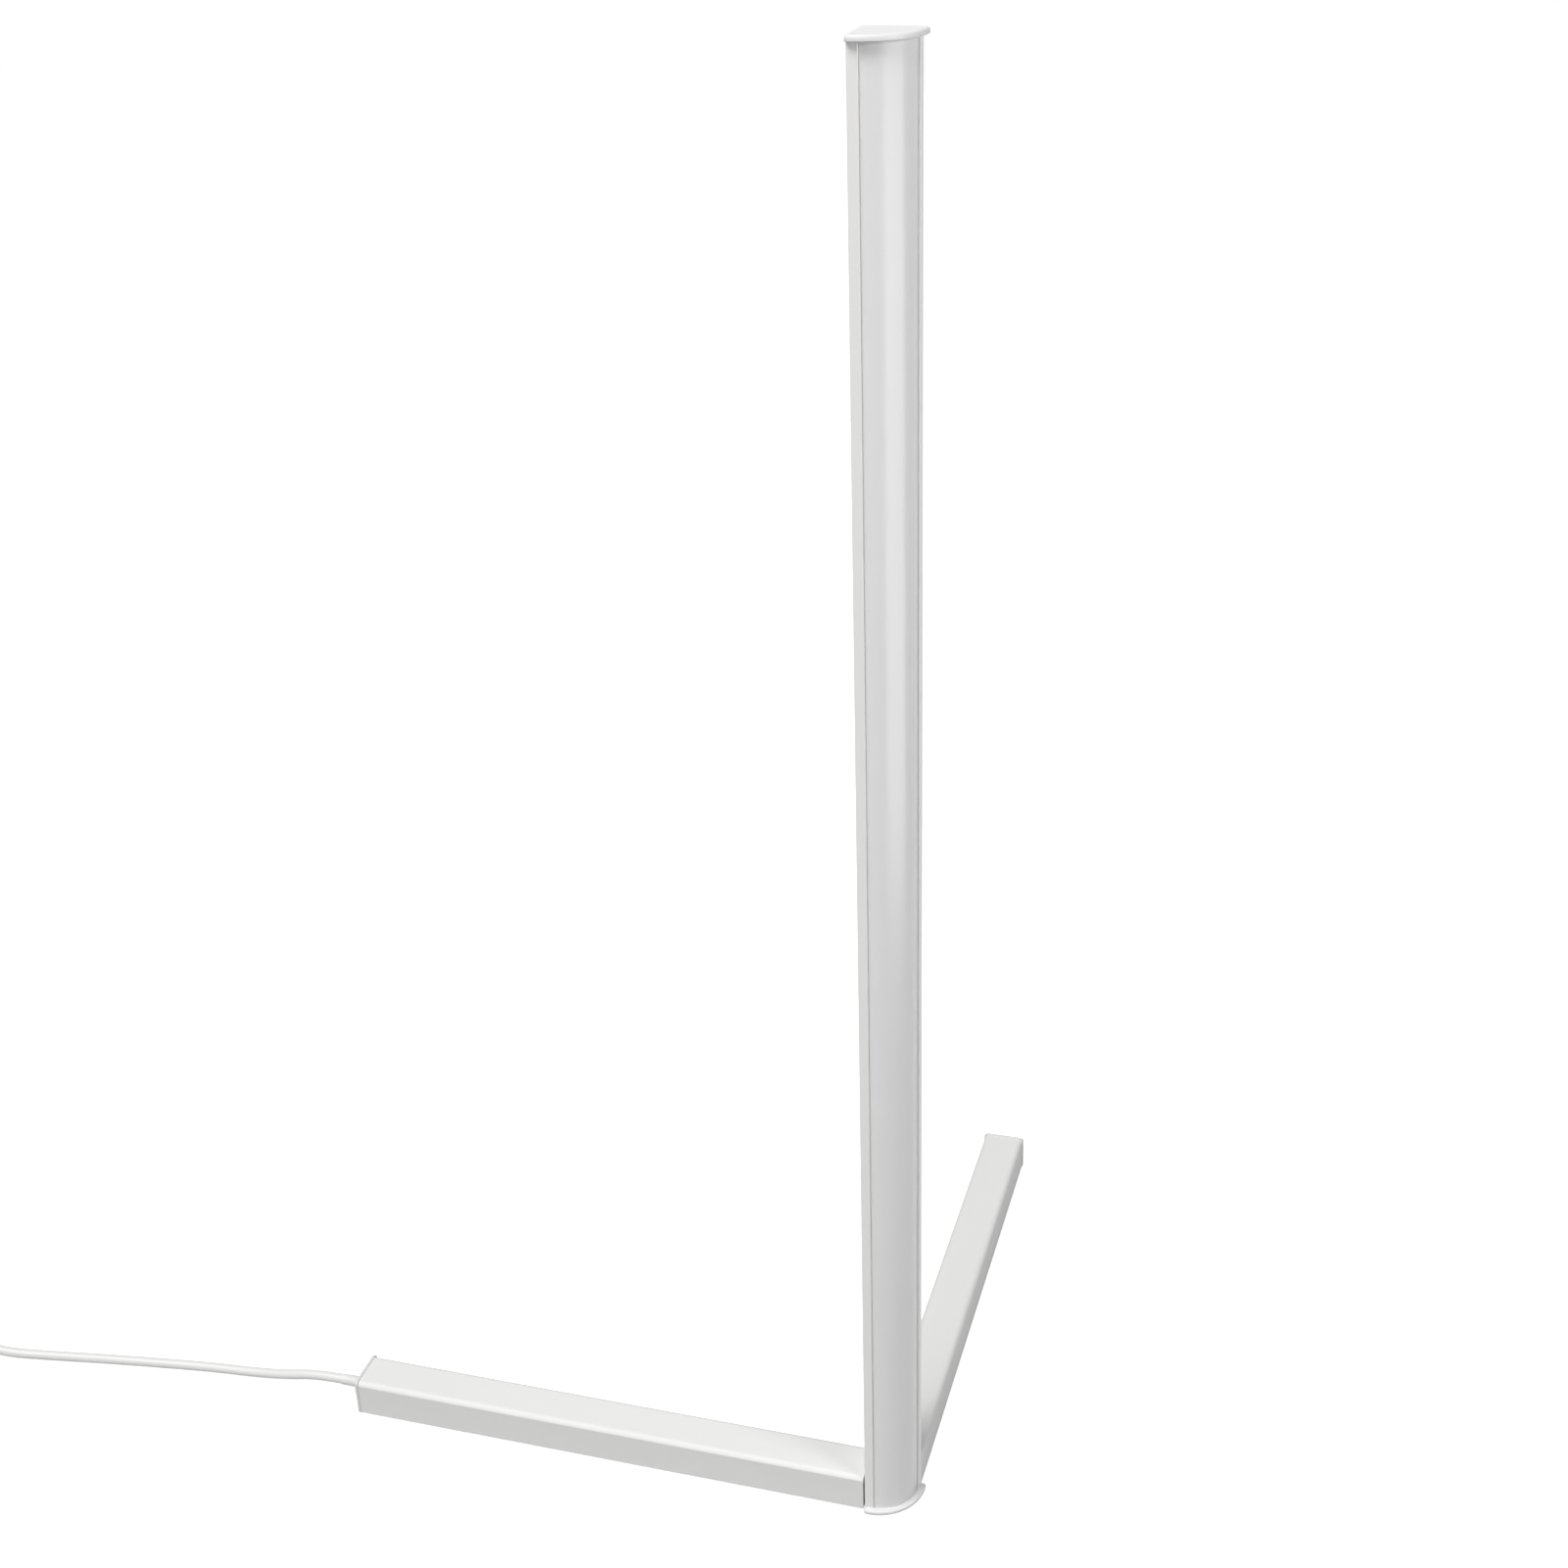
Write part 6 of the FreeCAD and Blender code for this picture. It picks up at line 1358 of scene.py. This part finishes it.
# ---------------------------------------------------------------------- the foot switch
@dataclass
class FootSwitch:
    """In-line switch: two rounded halves, collars round the lead and a push button."""
    x: float = -765.0
    y: float = -46.0
    length: float = 70.0
    width: float = 46.0
    height: float = 22.0
    split: float = 9.0
    wall: float = 2.0
    corner: float = 16.0
    lead_height: float = 9.0
    collar: float = 6.0
    button: float = 14.0
    button_top: float = 26.6
    button_bottom: float = 18.1
    button_flange: float = 19.7
    button_fit: float = 0.4
    button_wall: float = 2.0
    button_edge: float = 1.2
    button_roof: float = 2.6
    button_dish: float = 0.9
    stem: float = 3.0
    seam: float = 0.25
    base_rim: float = 0.8
    cover_rim: float = 2.4
    screws: tuple[float, float] = (25.0, 13.0)
    screw_seat: float = 2.45
    collar_bore: float = 3.8
    collar_root: float = 5.4
    rings: int = 3
    ring_pitch: float = 1.85
    ring_taper: float = 0.28
    ring_depth: float = 0.45

    def outline(self) -> np.ndarray:
        """Return the housing's line in plan."""
        half_x, half_y = self.length / 2, self.width / 2
        return rectangle((self.x - half_x, self.y - half_y), (self.x + half_x, self.y + half_y),
                         self.corner, self.corner, 14)

    def halves(self) -> None:
        """Make the lower and the upper half, which meet in a fine groove."""
        dx, dy = self.screws
        places = [(self.x + sx * dx, self.y + sy * dy) for sx in (-1, 1) for sy in (-1, 1)]
        screws = [circle(x, y, self.screw_seat, 24) for x, y in places]
        rims = rounded_ends(0, self.split, self.base_rim, self.seam, 5)
        base = Draft().bar(self.outline(), rims, upright, screws)
        base.piece("switch_lower_half", Finishes.SWITCH, "white_switch_plastic", ["switch_base"])
        rims = rounded_ends(self.split, self.height, self.seam, self.cover_rim, 8)
        hole = circle(self.x, self.y, self.button + self.button_fit, 64)
        cover = Draft().bar(self.outline(), rims, upright, [hole])
        for side in (-1, 1):
            end = self.x + side * self.length / 2
            cover.turned(self.collar_profile(), (end, self.y, self.lead_height), (side, 0, 0), 40)
        cover.piece("switch_upper_half", Finishes.SWITCH, "white_switch_plastic", ["switch_cover"])

    def collar_profile(self) -> list[tuple[float, float]]:
        """Return a collar's profile: three rounded rings that taper along the lead."""
        bore, root, sunk, depth = self.collar_bore, self.collar_root, -self.wall, self.ring_depth
        profile = [(sunk, bore), (sunk, root), (0.0, root)]
        for index in range(self.rings):
            start = 0.3 + index * self.ring_pitch
            radius = root - 0.05 - index * self.ring_taper
            profile += [(start, radius - depth), (start + 0.3, radius - 0.08),
                        (start + 0.8, radius), (start + 1.3, radius - 0.1),
                        (start + 1.6, radius - depth)]
        return profile + [(self.collar, bore + 0.4), (self.collar, bore), (sunk, bore)]

    def push_button(self) -> None:
        """Make the button: a cap with a shallow dish, a rolled edge, a flange and a stem.

        The edge is a quarter circle, and at radius r the dish lies its depth times
        (1 - (r / rim)^2)^1.5 below the top.
        """
        radius, top, bottom = self.button, self.button_top, self.button_bottom
        edge, wall, stem = self.button_edge, self.button_wall, self.stem
        under, rim = top - self.button_roof, radius - edge - 0.2
        profile = [(bottom, radius - wall), (bottom, radius + wall),
                   (self.button_flange, radius + wall), (self.button_flange, radius)]
        profile += [(top - edge + edge * math.sin(a), radius - edge + edge * math.cos(a))
                    for a in np.linspace(0, QUARTER_TURN, 7)]
        profile += [(top - self.button_dish * (1 - (r / rim) ** 2) ** 1.5, r)
                    for r in np.linspace(rim - 0.1, 0, 12)]
        profile += [(under, 0.0), (under, radius - wall), (bottom, radius - wall)]
        centre = (self.x, self.y, 0)
        draft = Draft().turned(profile, centre, UPWARDS, 64)
        draft.turned([(under - 0.2, 0.0), (under - 0.2, stem), (bottom, stem), (bottom, 0.0)],
                     centre, UPWARDS, 32)
        draft.piece("push_button", Finishes.BUTTON, "button_plastic", ["switch_button"],
                    body="button")

    def build(self) -> None:
        """Make the switch."""
        self.halves()
        self.push_button()


# ----------------------------------------------------------------------------- the plug
@dataclass
class MainsPlug:
    """Earthed plug: grooved boot, ribbed grip, flared neck, round face and pins."""
    x: float = -915.0
    z: float = 18.5
    tail: float = 92.0
    grip: float = 117.0
    neck: float = 133.0
    disc: float = 145.0
    face: float = 163.0
    grip_radius: float = 11.0
    disc_radius: float = 18.5
    pin_spread: float = 9.5
    pin_radius: float = 2.4
    pin_length: float = 19.0
    pin_root: float = 5.0
    pin_fit: float = 0.05
    dome: float = 1.4
    earth_hole: float = 2.6
    earth_depth: float = 14.0
    earth_rise: float = 9.0
    notch_width: float = 6.0
    notch_depth: float = 3.0
    notch_start: float = 4.0
    overcut: float = 2.0
    grip_grooves: int = 4
    grip_pitch: float = 3.0
    boot_grooves: int = 6
    boot_pitch: float = 3.6
    boot_bore: float = 3.6
    boot_tip: float = 4.5
    boot_root: float = 6.6
    boot_taper: float = 0.08

    def body(self) -> None:
        """Make the body, with the notches of its side contacts and the earth hole.

        The flare from grip to disc follows s^2 * (3 - 2 s) for s from 0 to 1.
        """
        grip, rim = self.grip_radius, self.disc_radius
        profile = [(self.grip, 0.0), (self.grip, grip - 1.6), (self.grip + 0.5, grip - 0.7),
                   (self.grip + 1.6, grip)]
        for index in range(self.grip_grooves):
            start = self.grip + (index + 1) * self.grip_pitch
            profile += [(start, grip), (start + 0.5, grip - 0.5), (start + 1.0, grip - 0.6),
                        (start + 1.5, grip - 0.5), (start + 2.0, grip)]
        share = np.linspace(0, 1, 10)
        ease = share * share * (3 - 2 * share)
        profile += [(self.neck + (self.disc - self.neck) * s, grip + (rim - grip) * e)
                    for s, e in zip(share, ease)]
        profile += [(self.face - 1.5, rim), (self.face - 0.45, rim - 0.4), (self.face, rim - 1.5),
                    (self.face, 0.0)]
        draft = Draft().turned(profile, (self.x, 0, self.z), ALONG_Y, 72)
        draft.piece("plug_moulding", Finishes.PLUG, "white_plug_plastic", ["plug_body"],
                    cutters=self.openings())

    def openings(self) -> Draft:
        """Return what is cut out of the body: two notches, the earth hole and two pin seats."""
        cutters = Draft()
        rim, half, deep = self.disc_radius, self.notch_width / 2, self.notch_depth
        out, earth = self.face + self.overcut, self.earth_hole
        for side in (-1, 1):
            low, high = sorted((self.z + side * (rim - deep), self.z + side * (rim + deep)))
            notch = rectangle((self.x - half, low), (self.x + half, high), 0.4, 0.4, 3)
            cutters.bar(notch, [(self.disc + self.notch_start, 0), (out, 0)], self.along_y)
        deep = self.face - self.earth_depth
        cutters.turned([(deep, 0), (deep, earth - 0.4), (deep + 0.4, earth), (out, earth),
                        (out, 0)], (self.x, 0, self.z + self.earth_rise), ALONG_Y, 28)
        seat, deep = self.pin_radius + self.pin_fit, self.face - self.pin_root
        for side in (-1, 1):
            cutters.turned([(deep, 0), (deep, seat), (out, seat), (out, 0)],
                           (self.x + side * self.pin_spread, 0, self.z), ALONG_Y, 28)
        return cutters

    @staticmethod
    def along_y(across: np.ndarray, level: np.ndarray) -> np.ndarray:
        """Carry a section drawn in (x, z) along y = level."""
        return np.stack([across[..., 0], level, across[..., 1]], axis=-1)

    def boot(self) -> None:
        """Make the boot: a taper with flexing grooves round it."""
        tail, tip = self.tail, self.boot_tip
        profile = [(tail, 0.0), (tail, self.boot_bore), (tail, tip - 0.3), (tail + 0.4, tip)]
        for index in range(self.boot_grooves):
            start = tail + 2.0 + index * self.boot_pitch
            radius = tip + 0.1 + (start - tail) * self.boot_taper
            profile += [(start, radius), (start + 0.25, radius - 0.55),
                        (start + 1.0, radius - 0.62), (start + 1.25, radius + 0.05)]
        profile += [(self.grip, self.boot_root), (self.grip, 0.0)]
        draft = Draft().turned(profile, (self.x, 0, self.z), ALONG_Y, 44)
        draft.piece("plug_flex_boot", Finishes.SLEEVE, "white_sleeve_vinyl", ["plug_boot"])

    def pins(self) -> None:
        """Make the two round pins with domed tips."""
        draft = Draft()
        tip, root, dome = self.face + self.pin_length, self.face - self.pin_root, self.dome
        flat = self.pin_radius - dome
        profile = [(root, 0), (root, self.pin_radius)]
        profile += [(tip - dome + dome * math.sin(a), flat + dome * math.cos(a))
                    for a in np.linspace(0, QUARTER_TURN, 7)]
        for side in (-1, 1):
            draft.turned(profile + [(tip, 0)], (self.x + side * self.pin_spread, 0, self.z),
                         ALONG_Y, 32)
        draft.piece("plug_contact_pins", Finishes.PINS, "nickel_pins", ["plug_pins"])

    def build(self) -> None:
        """Make the plug."""
        self.boot()
        self.body()
        self.pins()


# --------------------------------------------------------------------- hidden hardware
class Hardware:
    """The CAD nodes that keep their own shape, and the finish of each."""

    FINISHES: Mapping[Finish, Sequence[str]] = {
        Finishes.CAST_GAP_SHADE: ("left_foot_block", "right_foot_block"),
        Finishes.ZINC: ("bottom_cap_screws", "foot_bolts", "foot_washers", "block_screws",
                        "end_cap_screws", "clamp_screws", "board_screws", "terminal_screws",
                        "earth_screw", "switch_screws"),
        Finishes.LIGHT_BOARD: ("light_board_lower", "light_board_upper"),
        Finishes.CHIP: ("light_chips_lower", "light_chips_upper"),
        Finishes.NYLON: ("board_link", "strip_socket", "terminal_block", "cord_clamp"),
        Finishes.CABLE: ("strip_cable",),
        Finishes.GROMMET: ("wing_grommet",),
        Finishes.LEAD: ("cord_inner_end", "switch_lead_ends"),
        Finishes.CORES: ("mains_cores", "driver_input_wires"),
        Finishes.SWITCH_CORES: ("switch_wires",),
        Finishes.EARTH: ("earth_wire",),
        Finishes.LUG: ("earth_lug",),
        Finishes.DRIVER: ("driver_base", "driver_cover"),
        Finishes.DRIVER_BOARD: ("driver_board",),
        Finishes.WINDING: ("driver_transformer",),
        Finishes.CAPACITOR: ("driver_capacitors",),
        Finishes.CHOKE: ("driver_choke",),
        Finishes.HEATSINK: ("driver_heatsink",),
        Finishes.FOAM: ("driver_pad",),
        Finishes.PHENOLIC: ("switch_core",),
        Finishes.PINS: ("plug_earth_clips",),
    }

    def build(self) -> None:
        """Give each of those nodes its finish."""
        for finish, names in self.FINISHES.items():
            for name in names:
                coat(frame["nodes"][name], finish)
                log.info("%s keeps its own shape", name)


# ------------------------------------------------------------------------------- studio
@dataclass(frozen=True)
class SoftLamp:
    """A square soft lamp: where it hangs and aims in metres, its side in metres and its watts."""
    name: str
    place: tuple[float, float, float]
    aim: tuple[float, float, float]
    size: float
    power: float
    color: Color = (1.0, 1.0, 1.0)
    mirrored_only: bool = False

    def build(self) -> None:
        """Hang the lamp and point it at its aim."""
        light = bpy.data.lights.new(self.name, "AREA")
        light.size = self.size
        light.energy = self.power
        light.color = self.color
        made = placed(self.name, light)
        way = Vector(self.aim) - Vector(self.place)
        turn = way.to_track_quat("-Z", "Y").to_matrix().to_4x4()
        made.matrix_world = Matrix.Translation(Vector(self.place)) @ turn
        made.visible_diffuse = not self.mirrored_only


MIDDLE = (0.0, 0.0, 0.5)
DAYLIGHT = (1.0, 0.998, 0.985)


@dataclass
class Studio:
    """Camera, floor, world and lamps of the photograph."""
    yaw: float = 16.87
    pitch: float = 26.38
    roll: float = 1.68
    position: tuple[float, float, float] = (298.3, -1162.2, 1155.6)
    focal_pixels: float = 2245.6
    image_pixels: float = 1601.0
    sensor: float = 36.0
    sight: tuple[float, float] = (0.02, 50.0)
    world_light: float = 0.2
    world_color: Color = (0.97, 0.98, 1.0)
    white: Color = (1.0, 1.0, 1.0)
    floor_reach: float = 6.0
    floor_lines: int = 9
    floor_white: float = 0.98
    floor_glow: float = 1.74
    floor_glow_share: float = 0.5
    paper: Color = (0.45, 0.45, 0.455)
    lamps: tuple[SoftLamp, ...] = (
        SoftLamp("key", (-2.6, -2.6, 6.5), MIDDLE, 2.8, 264.0, DAYLIGHT),
        SoftLamp("front", (-0.8, -3.4, 6.5), MIDDLE, 2.8, 178.0, DAYLIGHT),
        SoftLamp("fill", (1.25, -0.55, 1.35), (0.0, 0.0, 0.8), 0.5, 9.0, (1.0, 0.98, 0.99)),
        SoftLamp("reflected_panel", (0.85, -0.30, 0.45), (0.0, 0.0, 0.45), 0.9, 7.6,
                 mirrored_only=True))

    def camera(self) -> None:
        """Make the camera from its angles: ahead is turned by the yaw and dips by the pitch."""
        yaw, pitch, roll = (math.radians(a) for a in (self.yaw, self.pitch, self.roll))
        ahead = Vector((-math.sin(yaw) * math.cos(pitch), math.cos(yaw) * math.cos(pitch),
                        -math.sin(pitch)))
        right = Vector((math.cos(yaw), math.sin(yaw), 0))
        down = ahead.cross(right)
        across = right * math.cos(roll) + down * math.sin(roll)
        below = down * math.cos(roll) - right * math.sin(roll)
        lens = bpy.data.cameras.new("photo_camera")
        lens.sensor_fit = "HORIZONTAL"
        lens.sensor_width = self.sensor
        lens.lens = self.focal_pixels / self.image_pixels * self.sensor
        lens.clip_start, lens.clip_end = self.sight
        made = placed("photo_camera", lens)
        turn = Matrix((across, -below, -ahead)).transposed()
        spot = Vector(to_lamp(np.array(self.position)))
        made.matrix_world = Matrix.Translation(spot) @ turn.to_4x4()
        bpy.context.scene.camera = made

    def floor(self) -> None:
        """Make the floor: a shallow grid, white to the eye, that keeps the lamp's shadow."""
        count = self.floor_lines
        size = np.linspace(-self.floor_reach, self.floor_reach, count)
        flat_x, flat_y = np.meshgrid(size, size, indexing="ij")
        points = np.stack([flat_x, flat_y, np.zeros_like(flat_x)], axis=-1).reshape(-1, 3)
        index = np.arange(count * count).reshape(count, count)
        quads = np.stack([index[:-1, :-1], index[1:, :-1], index[1:, 1:], index[:-1, 1:]], axis=-1)
        mesh = bpy.data.meshes.new("studio_floor")
        mesh.from_pydata(points.tolist(), [], quads.reshape(-1, 4).tolist())
        material = bpy.data.materials.new("studio_floor_paper")
        shader = Shader(material)
        paper = shader.node("ShaderNodeBsdfDiffuse", {"Color": self.paper}, "BSDF")
        bright = shader.node("ShaderNodeBsdfDiffuse", {"Color": (self.floor_white,) * 3}, "BSDF")
        glow = shader.node("ShaderNodeEmission", {"Color": self.white, "Strength": self.floor_glow},
                           "Emission")
        soft = shader.node("ShaderNodeMixShader", {0: self.floor_glow_share, 1: bright, 2: glow},
                           "Shader")
        shader.output(shader.node("ShaderNodeMixShader", {0: shader.shown(), 1: paper, 2: soft},
                                  "Shader"))
        mesh.materials.append(material)
        placed("studio_floor", mesh)

    def world(self) -> None:
        """Make the world: white to the eye, and an even light for everything else."""
        world = bpy.data.worlds.new("studio_world")
        bpy.context.scene.world = world
        shader = Shader(world)
        light = shader.node("ShaderNodeBackground", {"Color": self.world_color,
                                                     "Strength": self.world_light}, "Background")
        white = shader.node("ShaderNodeBackground", {"Color": self.white, "Strength": 1.0},
                            "Background")
        shader.output(shader.node("ShaderNodeMixShader", {0: shader.shown(), 1: light, 2: white},
                                  "Shader"), "ShaderNodeOutputWorld")

    def lights(self) -> None:
        """Hang two high lamps in front, a fill on the right and a panel that only reflects."""
        for lamp in self.lamps:
            lamp.build()


def main() -> None:
    """Build the lamp's pieces in order, then light them."""
    logging.basicConfig(level=logging.INFO, format="%(name)s: %(message)s")
    bpy.context.scene.view_settings.view_transform = "Standard"
    studio = Studio()
    studio.camera()
    lead = MainsLead()
    near, far = lead.build()
    tie = CoilTie().build(lead)
    Column().build()
    Feet().build()
    FootSwitch().build()
    MainsPlug().build()
    Hardware().build()
    things = bpy.data.objects
    nodes = frame["nodes"]
    switch = [things[name] for name in ("switch_lower_half", "switch_upper_half", "push_button")]
    switch += [nodes[name] for name in ("switch_core", "switch_lead_ends", "switch_screws",
                                        "switch_wires")]
    studio.floor()
    studio.world()
    studio.lights()


if __name__ == "__main__":
    main()
